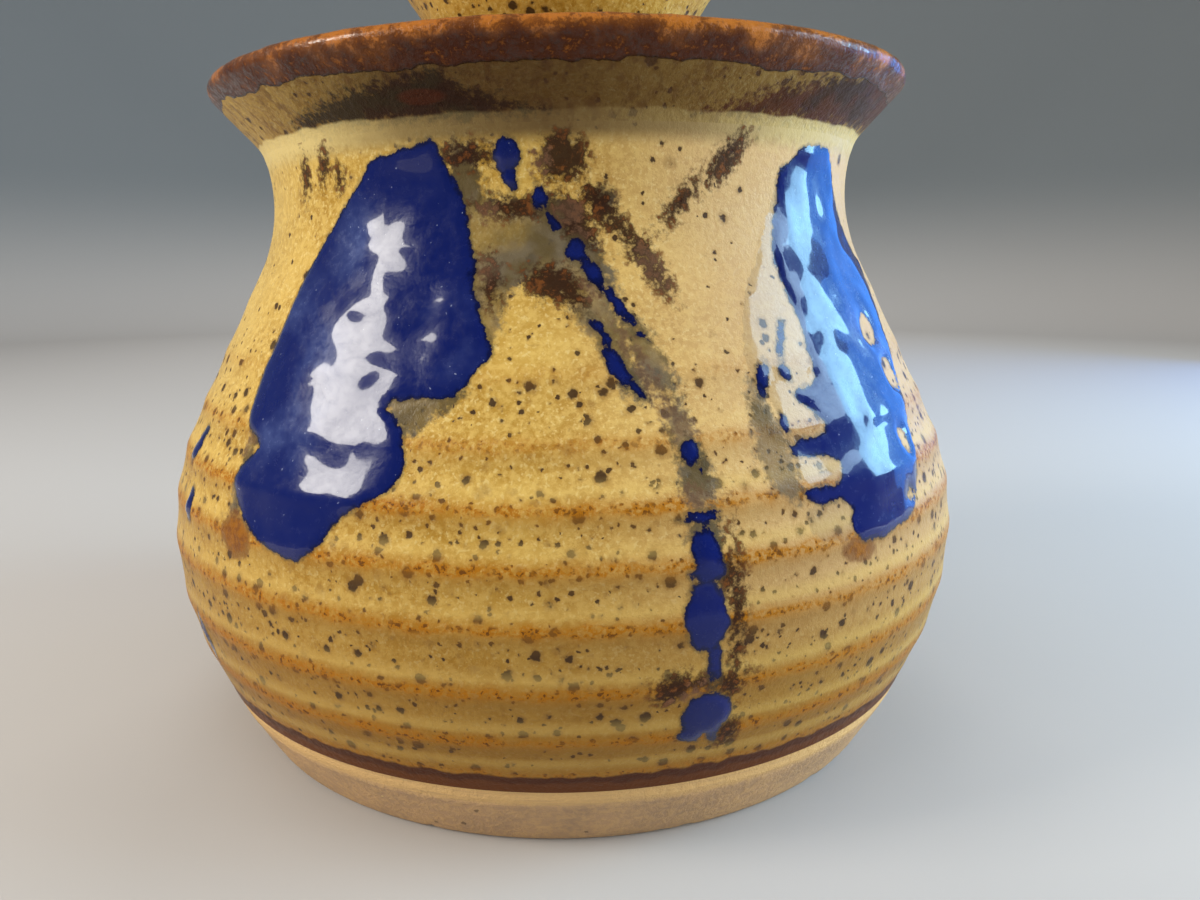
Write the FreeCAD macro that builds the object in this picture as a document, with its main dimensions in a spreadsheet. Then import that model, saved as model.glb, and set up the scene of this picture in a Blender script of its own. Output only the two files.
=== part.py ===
import FreeCAD, Part
import math
import os

import Sketcher

# A lidded stoneware bean pot: a thrown body, a lid that drops into a gallery
# inside the rim, and a flared knob luted onto the lid. Millimetres, +Z up,
# origin at the middle of the foot, where the pot stands.

os.makedirs("parts", exist_ok=True)
doc = FreeCAD.newDocument("bean_pot")

# Driving dimensions, each one set by itself

DRIVING = [
    ("belly_radius", 65.0, "widest radius of the body"),
    ("belly_height", 32.5, "height of the widest place"),
    ("neck_radius", 46.5, "narrowest outside radius, under the lip"),
    ("neck_height", 84.5, "height of the narrowest place"),
    ("belly_roundness", 0.50, "share of the shoulder's curve given to the belly"),
    ("neck_roundness", 0.28, "share of the shoulder's curve given to the neck"),
    ("wall", 5.5, "wall thickness"),
    ("floor_thickness", 8.5, "floor of the pot, above the table"),
    ("inner_corner", 12.0, "radius where the wall meets the floor inside"),
    ("foot_inset", 10.8, "belly radius to the edge that stands on the table"),
    ("foot_edge_inset", 6.6, "belly radius to the trimmed edge of the foot"),
    ("foot_edge_height", 7.8, "height of the trimmed edge of the foot"),
    ("glaze_line_inset", 4.4, "belly radius to the line where the glaze stops"),
    ("glaze_line_height", 13.0, "height of the line where the glaze stops"),
    ("foot_ring_width", 7.5, "width of the ring that stands on the table"),
    ("foot_recess_depth", 2.5, "hollow under the floor, inside the foot ring"),
    ("crease_rise", 7.2, "narrowest place to the crease under the lip"),
    ("lip_rise", 16.5, "narrowest place to the top of the lip"),
    ("lip_overhang", 8.0, "neck radius to the outside of the lip"),
    ("lip_thickness", 6.2, "thickness of the lip"),
    ("lip_outer_round", 1.4, "rounding of the lip's outer edge"),
    ("lip_inner_round", 2.2, "rounding of the lip's inner edge"),
    ("gallery_depth", 4.6, "top of the lip down to the ledge for the lid"),
    ("gallery_lead", 1.0, "how far the inside of the lip leans in to the ledge"),
    ("lid_clearance", 0.8, "gap round the lid in its gallery"),
    ("lid_edge", 4.0, "thickness of the lid's edge"),
    ("lid_rise", 8.0, "ledge to the flat place under the knob"),
    ("lid_wall", 4.6, "thickness of the lid's dome"),
    ("flange_clearance", 1.5, "gap round the locating flange in the mouth"),
    ("flange_wall", 3.5, "thickness of the locating flange"),
    ("flange_depth", 6.0, "ledge down to the foot of the flange"),
    ("knob_radius", 27.0, "outside radius of the knob's rim"),
    ("knob_height", 17.1, "height of the knob above the lid"),
    ("knob_rim", 1.8, "radius of the knob's rounded rim"),
    ("knob_waist", 19.2, "narrowest radius of the knob"),
    ("knob_waist_height", 2.0, "height of the knob's waist above the lid"),
    ("knob_curve", 4.0, "radius of the hollow curve at the waist"),
    ("knob_dish", 3.0, "depth of the dish in the top of the knob"),
    ("soft_edge", 0.8, "rounding of edges wiped with a sponge"),
    ("seat_land", 1.4, "flat left on the lid outside the knob's root"),
]

# Sizes that follow from the driving dimensions

DERIVED = [
    ("foot_radius", "belly_radius - foot_inset"),
    ("foot_edge_radius", "belly_radius - foot_edge_inset"),
    ("glaze_line_radius", "belly_radius - glaze_line_inset"),
    ("recess_radius", "foot_radius - foot_ring_width"),
    ("shoulder_rise", "neck_height - belly_height"),
    ("shoulder_inset", "belly_radius - neck_radius"),
    ("curve_limit", "(shoulder_rise ^ 2 + shoulder_inset ^ 2) / (2 * shoulder_inset)"),
    ("belly_curve", "belly_roundness * curve_limit"),
    ("neck_curve", "neck_roundness * curve_limit"),
    ("neck_centre_radius", "neck_radius + neck_curve"),
    ("belly_curve_inside", "belly_curve - wall"),
    ("neck_curve_inside", "neck_curve + wall"),
    ("crease_height", "neck_height + crease_rise"),
    ("body_height", "neck_height + lip_rise"),
    ("lip_radius", "neck_radius + lip_overhang"),
    ("lip_outer_centre_radius", "lip_radius - lip_outer_round"),
    ("lip_outer_centre_height", "body_height - lip_outer_round"),
    ("lip_inner_centre_radius", "lip_radius - lip_thickness + lip_inner_round"),
    ("lip_inner_centre_height", "body_height - lip_inner_round"),
    ("ledge_height", "body_height - gallery_depth"),
    ("gallery_radius", "lip_radius - lip_thickness - gallery_lead"),
    ("mouth_radius", "neck_radius - wall"),
    ("lid_radius", "gallery_radius - lid_clearance"),
    ("lid_edge_height", "ledge_height + lid_edge"),
    ("lid_top_height", "ledge_height + lid_rise"),
    ("lid_ceiling_height", "lid_top_height - lid_wall"),
    ("flange_radius", "mouth_radius - flange_clearance"),
    ("flange_inner_radius", "flange_radius - flange_wall"),
    ("flange_foot_height", "ledge_height - flange_depth"),
    ("knob_top_height", "lid_top_height + knob_height"),
    ("knob_rim_centre_radius", "knob_radius - knob_rim"),
    ("knob_rim_centre_height", "knob_top_height - knob_rim"),
    ("knob_waist_centre_radius", "knob_waist + knob_curve"),
    ("knob_waist_centre_height", "lid_top_height + knob_waist_height"),
    ("knob_root_radius", "knob_waist_centre_radius - sqrt(knob_curve ^ 2 - knob_waist_height ^ 2)"),
    ("knob_dish_height", "knob_top_height - knob_dish"),
    ("knob_seat_radius", "knob_root_radius + seat_land"),
]

sheet = doc.addObject("Spreadsheet::Sheet", "Sizes")
row = 1
for alias, value, meaning in DRIVING:
    sheet.set("A%d" % row, str(value))
    sheet.setAlias("A%d" % row, alias)
    sheet.set("B%d" % row, meaning)
    row += 1
for alias, formula in DERIVED:
    sheet.set("A%d" % row, "=" + formula)
    sheet.setAlias("A%d" % row, alias)
    row += 1
doc.recompute()


def size(alias):
    """The value that a named size has now."""
    return float(sheet.get(alias))


# Drawing helpers

ORIGIN = -1
UPRIGHT = -2
START = 1
END = 2
CENTRE = 3
TOLERANCE = 0.001
CUBIC_MM_PER_CUBIC_CM = 1000


def origin_plane(body, role):
    """One of a body's own origin planes."""
    for feature in body.Origin.OriginFeatures:
        if feature.Role == role:
            return feature
    raise ValueError("no plane " + role)


def new_body(name):
    """An empty body whose label names its file."""
    body = doc.addObject("PartDesign::Body", name)
    body.Label = name
    return body


def new_section(body, name):
    """An empty sketch on the body's upright plane, radius across and height up."""
    sketch = body.newObject("Sketcher::SketchObject", name)
    sketch.AttachmentSupport = [(origin_plane(body, "XZ_Plane"), "")]
    sketch.MapMode = "FlatFace"
    return sketch


def add_line(sketch, start, end):
    """A straight edge between two places."""
    edge = Part.LineSegment(FreeCAD.Vector(*start, 0), FreeCAD.Vector(*end, 0))
    return sketch.addGeometry(edge, False)


def add_arc(sketch, centre, start, end):
    """A round edge, anticlockwise from start to end about its centre."""
    radius = math.dist(centre, start)
    circle = Part.Circle(FreeCAD.Vector(*centre, 0), FreeCAD.Vector(0, 0, 1), radius)
    first = math.atan2(start[1] - centre[1], start[0] - centre[0])
    last = math.atan2(end[1] - centre[1], end[0] - centre[0])
    if last <= first:
        last += 2 * math.pi
    return sketch.addGeometry(Part.ArcOfCircle(circle, first, last), False)


def join(sketch, first, first_end, second, second_end):
    """Two edges share a corner."""
    sketch.addConstraint(Sketcher.Constraint("Coincident", first, first_end, second, second_end))


def blend(sketch, first, first_end, second, second_end):
    """Two edges share an end and run on smoothly."""
    sketch.addConstraint(Sketcher.Constraint("Tangent", first, first_end, second, second_end))


def bind(sketch, constraint, alias):
    """Add a dimension that a named size drives."""
    index = sketch.addConstraint(constraint)
    sketch.setExpression("Constraints[%d]" % index, "Sizes." + alias)


def across(sketch, edge, end, alias):
    """A place lies this far out from the axis."""
    bind(sketch, Sketcher.Constraint("DistanceX", ORIGIN, START, edge, end, size(alias)), alias)


def above(sketch, edge, end, alias):
    """A place lies this far above the table."""
    bind(sketch, Sketcher.Constraint("DistanceY", ORIGIN, START, edge, end, size(alias)), alias)


def rounded(sketch, edge, alias):
    """A round edge has this radius."""
    bind(sketch, Sketcher.Constraint("Radius", edge, size(alias)), alias)


def level(sketch, edge):
    """A straight edge is level."""
    sketch.addConstraint(Sketcher.Constraint("Horizontal", edge))


def upright(sketch, edge):
    """A straight edge is upright."""
    sketch.addConstraint(Sketcher.Constraint("Vertical", edge))


def on_axis(sketch, edge, end):
    """A place lies on the axis."""
    sketch.addConstraint(Sketcher.Constraint("PointOnObject", edge, end, UPRIGHT))


def smooth_line(first, first_side, second, second_side):
    """The ends of a line that touches two circles.

    A side is the circle's radius, positive where its centre lies to the left
    of the line and negative where it lies to the right.
    """
    reach = math.dist(first, second)
    heading = math.atan2(second[1] - first[1], second[0] - first[0])
    heading -= math.asin((second_side - first_side) / reach)
    left = (-math.sin(heading), math.cos(heading))
    start = (first[0] - first_side * left[0], first[1] - first_side * left[1])
    end = (second[0] - second_side * left[0], second[1] - second_side * left[1])
    return start, end


def arc_through(side, drop):
    """The radius of an arc that leaves square to a line and reaches this far."""
    return (side ** 2 + drop ** 2) / (2 * drop)


def turned(body, sketch, name):
    """A sketch spun into a solid about the upright axis."""
    turn = body.newObject("PartDesign::Revolution", name)
    turn.Profile = sketch
    turn.ReferenceAxis = (sketch, ["V_Axis"])
    turn.Angle = 360.0
    sketch.Visibility = False
    doc.recompute()
    return turn


def hoop_edges(shape, places):
    """The names of the circular edges at these radius and height pairs."""
    names = []
    for index, edge in enumerate(shape.Edges, start=1):
        if not isinstance(edge.Curve, Part.Circle):
            continue
        for radius, height in places:
            same_radius = abs(edge.Curve.Radius - radius) < TOLERANCE
            same_height = abs(edge.Curve.Center.z - height) < TOLERANCE
            if same_radius and same_height:
                names.append("Edge%d" % index)
    return names


def softened(body, base, name, places):
    """Sponged edges, rounded to the soft_edge size."""
    edges = hoop_edges(base.Shape, places)
    if len(edges) != len(places):
        raise ValueError(name + " found %d of %d edges" % (len(edges), len(places)))
    fillet = body.newObject("PartDesign::Fillet", name)
    fillet.Base = (base, edges)
    fillet.Radius = size("soft_edge")
    fillet.setExpression("Radius", "Sizes.soft_edge")
    doc.recompute()
    return fillet


# The pot body: foot, belly, shoulder, neck, rounded lip, gallery and chamber

pot = new_body("pot_body")
wall_section = new_section(pot, "wall_section")

foot = (size("foot_radius"), 0.0)
foot_edge = (size("foot_edge_radius"), size("foot_edge_height"))
glaze_line = (size("glaze_line_radius"), size("glaze_line_height"))
belly = (size("belly_radius"), size("belly_height"))
lower_curve = arc_through(belly[1] - glaze_line[1], belly[0] - glaze_line[0])
lower_centre = (belly[0] - lower_curve, belly[1])
belly_centre = (belly[0] - size("belly_curve"), belly[1])
neck_centre = (size("neck_centre_radius"), size("neck_height"))
lip_outer_centre = (size("lip_outer_centre_radius"), size("lip_outer_centre_height"))
lip_inner_centre = (size("lip_inner_centre_radius"), size("lip_inner_centre_height"))


def neck_radius_at(height, curve):
    """Radius of the neck's hollow curve, outside or inside, at a height."""
    return neck_centre[0] - math.sqrt(curve ** 2 - (height - neck_centre[1]) ** 2)


shoulder_low, shoulder_high = smooth_line(
    belly_centre, size("belly_curve"), neck_centre, -size("neck_curve"))
crease_height = size("crease_height")
crease = (neck_radius_at(crease_height, size("neck_curve")), crease_height)
_, lip_under = smooth_line(crease, 0.0, lip_outer_centre, size("lip_outer_round"))
lip_top_outer = (lip_outer_centre[0], size("body_height"))
lip_top_inner = (lip_inner_centre[0], size("body_height"))
gallery_corner = (size("gallery_radius"), size("ledge_height"))
_, lip_inside = smooth_line(gallery_corner, 0.0, lip_inner_centre, -size("lip_inner_round"))
ledge_height = size("ledge_height")
mouth_edge = (neck_radius_at(ledge_height, size("neck_curve_inside")), ledge_height)
inside_low, inside_high = smooth_line(
    belly_centre, size("belly_curve_inside"), neck_centre, -size("neck_curve_inside"))
inside_belly = (belly[0] - size("wall"), belly[1])
corner_rise = size("floor_thickness") + size("inner_corner")
corner_reach = lower_curve - size("wall") - size("inner_corner")
corner_side = math.sqrt(corner_reach ** 2 - (belly[1] - corner_rise) ** 2)
corner_centre = (lower_centre[0] + corner_side, corner_rise)
corner_stretch = (lower_curve - size("wall")) / corner_reach
corner_wall = (
    lower_centre[0] + corner_side * corner_stretch,
    belly[1] - (belly[1] - corner_rise) * corner_stretch)
corner_floor = (corner_centre[0], size("floor_thickness"))
floor_middle = (0.0, size("floor_thickness"))

standing = add_line(wall_section, (0.0, 0.0), foot)
foot_side = add_line(wall_section, foot, foot_edge)
trimmed_band = add_line(wall_section, foot_edge, glaze_line)
lower_wall = add_arc(wall_section, lower_centre, glaze_line, belly)
belly_wall = add_arc(wall_section, belly_centre, belly, shoulder_low)
shoulder = add_line(wall_section, shoulder_low, shoulder_high)
neck = add_arc(wall_section, neck_centre, crease, shoulder_high)
undercut = add_line(wall_section, crease, lip_under)
lip_outer = add_arc(wall_section, lip_outer_centre, lip_under, lip_top_outer)
lip_top = add_line(wall_section, lip_top_outer, lip_top_inner)
lip_inner = add_arc(wall_section, lip_inner_centre, lip_top_inner, lip_inside)
lead_in = add_line(wall_section, lip_inside, gallery_corner)
ledge = add_line(wall_section, gallery_corner, mouth_edge)
inside_neck = add_arc(wall_section, neck_centre, mouth_edge, inside_high)
inside_shoulder = add_line(wall_section, inside_high, inside_low)
inside_wall = add_arc(wall_section, belly_centre, inside_belly, inside_low)
inside_lower = add_arc(wall_section, lower_centre, corner_wall, inside_belly)
inside_corner = add_arc(wall_section, corner_centre, corner_floor, corner_wall)
inside_floor = add_line(wall_section, corner_floor, floor_middle)
pot_axis = add_line(wall_section, floor_middle, (0.0, 0.0))

join(wall_section, standing, START, ORIGIN, START)
level(wall_section, standing)
across(wall_section, standing, END, "foot_radius")
join(wall_section, standing, END, foot_side, START)
across(wall_section, foot_side, END, "foot_edge_radius")
above(wall_section, foot_side, END, "foot_edge_height")
join(wall_section, foot_side, END, trimmed_band, START)
across(wall_section, trimmed_band, END, "glaze_line_radius")
above(wall_section, trimmed_band, END, "glaze_line_height")
join(wall_section, trimmed_band, END, lower_wall, START)
across(wall_section, lower_wall, END, "belly_radius")
above(wall_section, lower_wall, END, "belly_height")
above(wall_section, lower_wall, CENTRE, "belly_height")
join(wall_section, lower_wall, END, belly_wall, START)
above(wall_section, belly_wall, CENTRE, "belly_height")
rounded(wall_section, belly_wall, "belly_curve")
blend(wall_section, belly_wall, END, shoulder, START)
blend(wall_section, shoulder, END, neck, END)
across(wall_section, neck, CENTRE, "neck_centre_radius")
above(wall_section, neck, CENTRE, "neck_height")
rounded(wall_section, neck, "neck_curve")
above(wall_section, neck, START, "crease_height")
join(wall_section, neck, START, undercut, START)
blend(wall_section, undercut, END, lip_outer, START)
across(wall_section, lip_outer, CENTRE, "lip_outer_centre_radius")
above(wall_section, lip_outer, CENTRE, "lip_outer_centre_height")
rounded(wall_section, lip_outer, "lip_outer_round")
blend(wall_section, lip_outer, END, lip_top, START)
level(wall_section, lip_top)
blend(wall_section, lip_top, END, lip_inner, START)
across(wall_section, lip_inner, CENTRE, "lip_inner_centre_radius")
rounded(wall_section, lip_inner, "lip_inner_round")
blend(wall_section, lip_inner, END, lead_in, START)
across(wall_section, lead_in, END, "gallery_radius")
above(wall_section, lead_in, END, "ledge_height")
join(wall_section, lead_in, END, ledge, START)
level(wall_section, ledge)
join(wall_section, ledge, END, inside_neck, START)
join(wall_section, inside_neck, CENTRE, neck, CENTRE)
rounded(wall_section, inside_neck, "neck_curve_inside")
blend(wall_section, inside_neck, END, inside_shoulder, START)
blend(wall_section, inside_shoulder, END, inside_wall, END)
join(wall_section, inside_wall, CENTRE, belly_wall, CENTRE)
rounded(wall_section, inside_wall, "belly_curve_inside")
above(wall_section, inside_wall, START, "belly_height")
join(wall_section, inside_lower, END, inside_wall, START)
join(wall_section, inside_lower, CENTRE, lower_wall, CENTRE)
blend(wall_section, inside_lower, START, inside_corner, END)
rounded(wall_section, inside_corner, "inner_corner")
blend(wall_section, inside_corner, START, inside_floor, START)
level(wall_section, inside_floor)
on_axis(wall_section, inside_floor, END)
above(wall_section, inside_floor, END, "floor_thickness")
join(wall_section, inside_floor, END, pot_axis, START)
join(wall_section, pot_axis, END, standing, START)
thrown_wall = turned(pot, wall_section, "thrown_wall")

# The hollow trimmed under the floor leaves a ring to stand on

recess_section = new_section(pot, "recess_section")
recess_radius = size("recess_radius")
recess_depth = size("foot_recess_depth")
recess_bottom = add_line(recess_section, (0.0, 0.0), (recess_radius, 0.0))
recess_side = add_line(recess_section, (recess_radius, 0.0), (recess_radius, recess_depth))
recess_top = add_line(recess_section, (recess_radius, recess_depth), (0.0, recess_depth))
recess_axis = add_line(recess_section, (0.0, recess_depth), (0.0, 0.0))
join(recess_section, recess_bottom, START, ORIGIN, START)
level(recess_section, recess_bottom)
across(recess_section, recess_bottom, END, "recess_radius")
join(recess_section, recess_bottom, END, recess_side, START)
upright(recess_section, recess_side)
above(recess_section, recess_side, END, "foot_recess_depth")
join(recess_section, recess_side, END, recess_top, START)
level(recess_section, recess_top)
on_axis(recess_section, recess_top, END)
join(recess_section, recess_top, END, recess_axis, START)
join(recess_section, recess_axis, END, recess_bottom, START)

foot_recess = pot.newObject("PartDesign::Groove", "foot_recess")
foot_recess.Profile = recess_section
foot_recess.ReferenceAxis = (recess_section, ["V_Axis"])
foot_recess.Angle = 360.0
recess_section.Visibility = False
doc.recompute()
recess_volume = math.pi * recess_radius ** 2 * recess_depth
cut_volume = thrown_wall.Shape.Volume - foot_recess.Shape.Volume
if abs(cut_volume - recess_volume) > TOLERANCE * recess_volume:
    raise ValueError("the foot recess isn't cut")

sponged_edges = softened(pot, foot_recess, "sponged_edges", [
    foot,
    (recess_radius, 0.0),
    mouth_edge,
])

# The lid: a low dome with a flat edge on the ledge and a flange in the mouth

lid = new_body("lid")
lid_section = new_section(lid, "lid_section")

knob_seat = (size("knob_seat_radius"), size("lid_top_height"))
lid_rim = (size("lid_radius"), size("lid_edge_height"))
dome_curve = arc_through(lid_rim[0] - knob_seat[0], knob_seat[1] - lid_rim[1])
dome_centre = (knob_seat[0], knob_seat[1] - dome_curve)
ceiling_curve = dome_curve - size("lid_wall")
ceiling = (knob_seat[0], size("lid_ceiling_height"))
flange_inner = size("flange_inner_radius")
ceiling_end = (
    flange_inner,
    dome_centre[1] + math.sqrt(ceiling_curve ** 2 - (flange_inner - dome_centre[0]) ** 2))
lid_foot = (lid_rim[0], ledge_height)
flange_root = (size("flange_radius"), ledge_height)
flange_outer_foot = (size("flange_radius"), size("flange_foot_height"))
flange_inner_foot = (flange_inner, size("flange_foot_height"))
lid_top = (0.0, size("lid_top_height"))
lid_ceiling = (0.0, size("lid_ceiling_height"))

seat = add_line(lid_section, lid_top, knob_seat)
dome = add_arc(lid_section, dome_centre, lid_rim, knob_seat)
edge_face = add_line(lid_section, lid_rim, lid_foot)
bearing = add_line(lid_section, lid_foot, flange_root)
flange_outside = add_line(lid_section, flange_root, flange_outer_foot)
flange_end = add_line(lid_section, flange_outer_foot, flange_inner_foot)
flange_inside = add_line(lid_section, flange_inner_foot, ceiling_end)
dome_ceiling = add_arc(lid_section, dome_centre, ceiling_end, ceiling)
flat_ceiling = add_line(lid_section, ceiling, lid_ceiling)
lid_axis = add_line(lid_section, lid_ceiling, lid_top)

on_axis(lid_section, seat, START)
above(lid_section, seat, START, "lid_top_height")
level(lid_section, seat)
across(lid_section, seat, END, "knob_seat_radius")
join(lid_section, seat, END, dome, END)
across(lid_section, dome, CENTRE, "knob_seat_radius")
across(lid_section, dome, START, "lid_radius")
above(lid_section, dome, START, "lid_edge_height")
join(lid_section, dome, START, edge_face, START)
upright(lid_section, edge_face)
above(lid_section, edge_face, END, "ledge_height")
join(lid_section, edge_face, END, bearing, START)
level(lid_section, bearing)
across(lid_section, bearing, END, "flange_radius")
join(lid_section, bearing, END, flange_outside, START)
upright(lid_section, flange_outside)
above(lid_section, flange_outside, END, "flange_foot_height")
join(lid_section, flange_outside, END, flange_end, START)
level(lid_section, flange_end)
across(lid_section, flange_end, END, "flange_inner_radius")
join(lid_section, flange_end, END, flange_inside, START)
upright(lid_section, flange_inside)
join(lid_section, flange_inside, END, dome_ceiling, START)
join(lid_section, dome_ceiling, CENTRE, dome, CENTRE)
across(lid_section, dome_ceiling, END, "knob_seat_radius")
above(lid_section, dome_ceiling, END, "lid_ceiling_height")
join(lid_section, dome_ceiling, END, flat_ceiling, START)
level(lid_section, flat_ceiling)
on_axis(lid_section, flat_ceiling, END)
join(lid_section, flat_ceiling, END, lid_axis, START)
join(lid_section, lid_axis, END, seat, START)
thrown_lid = turned(lid, lid_section, "thrown_lid")
sponged_lid = softened(lid, thrown_lid, "sponged_lid", [
    lid_rim,
    lid_foot,
    flange_outer_foot,
    flange_inner_foot,
])

# The knob: a waist, a straight flare, a rounded rim and a dished top

knob = new_body("lid_knob")
knob_section = new_section(knob, "knob_section")

knob_root = (size("knob_root_radius"), size("lid_top_height"))
waist_centre = (size("knob_waist_centre_radius"), size("knob_waist_centre_height"))
rim_centre = (size("knob_rim_centre_radius"), size("knob_rim_centre_height"))
flare_low, flare_high = smooth_line(
    waist_centre, -size("knob_curve"), rim_centre, size("knob_rim"))
rim_top = (rim_centre[0], size("knob_top_height"))
dish_middle = (0.0, size("knob_dish_height"))
dish_centre = (0.0, size("knob_dish_height") + arc_through(rim_top[0], size("knob_dish")))

knob_base = add_line(knob_section, lid_top, knob_root)
waist = add_arc(knob_section, waist_centre, flare_low, knob_root)
flare = add_line(knob_section, flare_low, flare_high)
knob_lip = add_arc(knob_section, rim_centre, flare_high, rim_top)
dish = add_arc(knob_section, dish_centre, dish_middle, rim_top)
knob_axis = add_line(knob_section, dish_middle, lid_top)

on_axis(knob_section, knob_base, START)
above(knob_section, knob_base, START, "lid_top_height")
level(knob_section, knob_base)
join(knob_section, knob_base, END, waist, END)
across(knob_section, waist, CENTRE, "knob_waist_centre_radius")
above(knob_section, waist, CENTRE, "knob_waist_centre_height")
rounded(knob_section, waist, "knob_curve")
blend(knob_section, waist, START, flare, START)
blend(knob_section, flare, END, knob_lip, START)
across(knob_section, knob_lip, CENTRE, "knob_rim_centre_radius")
above(knob_section, knob_lip, CENTRE, "knob_rim_centre_height")
rounded(knob_section, knob_lip, "knob_rim")
across(knob_section, knob_lip, END, "knob_rim_centre_radius")
join(knob_section, knob_lip, END, dish, END)
on_axis(knob_section, dish, CENTRE)
on_axis(knob_section, dish, START)
above(knob_section, dish, START, "knob_dish_height")
join(knob_section, dish, START, knob_axis, START)
join(knob_section, knob_axis, END, knob_base, START)
thrown_knob = turned(knob, knob_section, "thrown_knob")

# Every feature has to have worked before anything is written

doc.recompute()
for thing in doc.Objects:
    if "Invalid" in thing.State or "Error" in thing.State:
        raise ValueError(thing.Name + " failed: " + str(thing.State))
for sketch in (wall_section, recess_section, lid_section, knob_section):
    if not sketch.FullyConstrained:
        raise ValueError(sketch.Name + " isn't fully constrained")
for body in (pot, lid, knob):
    if body.Shape.isNull() or not body.Shape.isValid():
        raise ValueError(body.Label + " has no valid solid")
for body in (pot, lid, knob):
    body.Shape.exportStep("parts/" + body.Label + ".step")
    print(body.Label, "volume %.1f cm3" % (body.Shape.Volume / CUBIC_MM_PER_CUBIC_CM))
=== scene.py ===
"""Looks of a small stoneware bean pot with a lift-off lid, in speckled ochre glaze with cobalt pours."""

import math

import bmesh
import bpy
import numpy as np
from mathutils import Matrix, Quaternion, Vector, noise


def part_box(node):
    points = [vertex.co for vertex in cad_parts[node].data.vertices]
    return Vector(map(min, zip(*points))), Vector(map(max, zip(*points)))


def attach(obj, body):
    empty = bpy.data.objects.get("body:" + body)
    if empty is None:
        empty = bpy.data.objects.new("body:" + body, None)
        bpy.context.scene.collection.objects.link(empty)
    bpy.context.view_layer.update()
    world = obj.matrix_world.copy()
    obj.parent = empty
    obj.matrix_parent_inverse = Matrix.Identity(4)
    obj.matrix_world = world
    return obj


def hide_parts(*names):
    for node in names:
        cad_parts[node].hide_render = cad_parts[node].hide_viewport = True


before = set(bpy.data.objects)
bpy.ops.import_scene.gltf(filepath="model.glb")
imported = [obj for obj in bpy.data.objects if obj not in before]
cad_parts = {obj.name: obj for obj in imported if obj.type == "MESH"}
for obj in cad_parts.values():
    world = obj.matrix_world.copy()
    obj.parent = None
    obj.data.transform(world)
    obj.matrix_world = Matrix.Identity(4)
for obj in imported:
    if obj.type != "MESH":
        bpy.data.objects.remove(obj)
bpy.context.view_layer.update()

# Outlines are in millimetres, as (radius, height). Places on the wall are an
# angle in degrees round from the front, positive to the right, and a height.
MM = 0.001
STEPS_ROUND = 512
SHARP_TURN = 50
WALL_ROW = 0.62
LIP_ROW = 0.3
LINER_ROW = 1.6
LID_ROW = 0.9

# Sizes that the frame gives
_, POT_HIGH = (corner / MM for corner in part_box("pot_body"))
LID_LOW, LID_HIGH = (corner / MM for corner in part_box("lid"))
_, KNOB_HIGH = (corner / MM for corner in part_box("lid_knob"))
BELLY_RADIUS = POT_HIGH.x
LIP_TOP = POT_HIGH.z
LID_RADIUS = LID_HIGH.x
LID_TOP = LID_HIGH.z
FLANGE_FOOT = LID_LOW.z
KNOB_TOP = KNOB_HIGH.z
KNOB_RADIUS = KNOB_HIGH.x

# Sizes of the thrown body, as in the part
BELLY_HEIGHT = BELLY_RADIUS / 2
NECK_RADIUS = 46.5
NECK_HEIGHT = 84.5
BELLY_CURVE = 41.17
NECK_CURVE = 23.05
WALL = 5.5
FLOOR = 8.5
FLOOR_CORNER = 12.0
FOOT_RADIUS = 54.2
FOOT_EDGE = (58.4, 7.8)
GLAZE_LINE = (60.6, 13.0)
RECESS_RADIUS = 46.7
RECESS_DEPTH = 2.5
CREASE_HEIGHT = 91.7
LIP_RADIUS = 54.5
LIP_THICKNESS = 6.2
LIP_OUTER_ROUND = 1.4
LIP_INNER_ROUND = 2.2
LEDGE_HEIGHT = 96.4
GALLERY_RADIUS = 47.3
FLANGE_RADIUS = 39.5
FLANGE_INSIDE = 36.0
LID_EDGE = 4.0
LID_WALL = 4.6
KNOB_RIM = 1.8
KNOB_WAIST = 19.2
WAIST_HEIGHT = 2.0
WAIST_CURVE = 4.0
KNOB_DISH = 3.0
SEAT_LAND = 1.4
SOFT_EDGE = 0.8

# Heights of the rough line inside the clay that closes the wall and the liner
CLAY_HEIGHTS = [13.0, 22.0, 32.0, 42.0, 51.0, 62.0, 74.0, 80.0, 88.0]

# Where the glaze stops above the foot, and how far it stands proud of the clay
GLAZE_EDGE_HEIGHT = 10.4
GLAZE_THICKNESS = 0.18

# Throwing ridges on the wall, from the foot up, and how deep the hollow is
# between each one and the next
RIDGES = [13.0, 18.6, 25.6, 33.8, 40.7, 47.2, 54.0, 61.5, 69.5, 78.0]
HOLLOWS = [0.16, 0.28, 0.35, 0.37, 0.35, 0.35, 0.27, 0.18, 0.10]
RIDGE_WANDER = 0.30
CREST_ROUND = 0.22

# How far the poured glaze and its smears stand up from the wall, how lumpy the
# wall is, and how far it is sunk so that it stays inside the part's own size
POUR_RISE = 0.30
SMEAR_RISE = 0.05
WALL_LUMPS = 0.07
WALL_SUNK = 0.08
BOX_ROOM = 0.02

# The pot isn't quite true: its top leans a little to the left, and its rim
# stands higher on the right
RIM_TILT = 0.021
TOP_SHIFT = -0.5
LEAN_FROM = 45.0
LEAN_TO = 92.0


# Outlines


def on_circle(centre, radius, turn):
    """The point of a circle in a direction, in degrees."""
    turn = math.radians(turn)
    return (centre[0] + radius * math.cos(turn), centre[1] + radius * math.sin(turn))


def arc(centre, radius, start, end, row):
    """Points a row apart along an arc, between two angles in degrees."""
    steps = max(2, round(abs(math.radians(end - start)) * radius / row))
    return [on_circle(centre, radius, start + (end - start) * step / steps) for step in range(steps + 1)]


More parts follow.
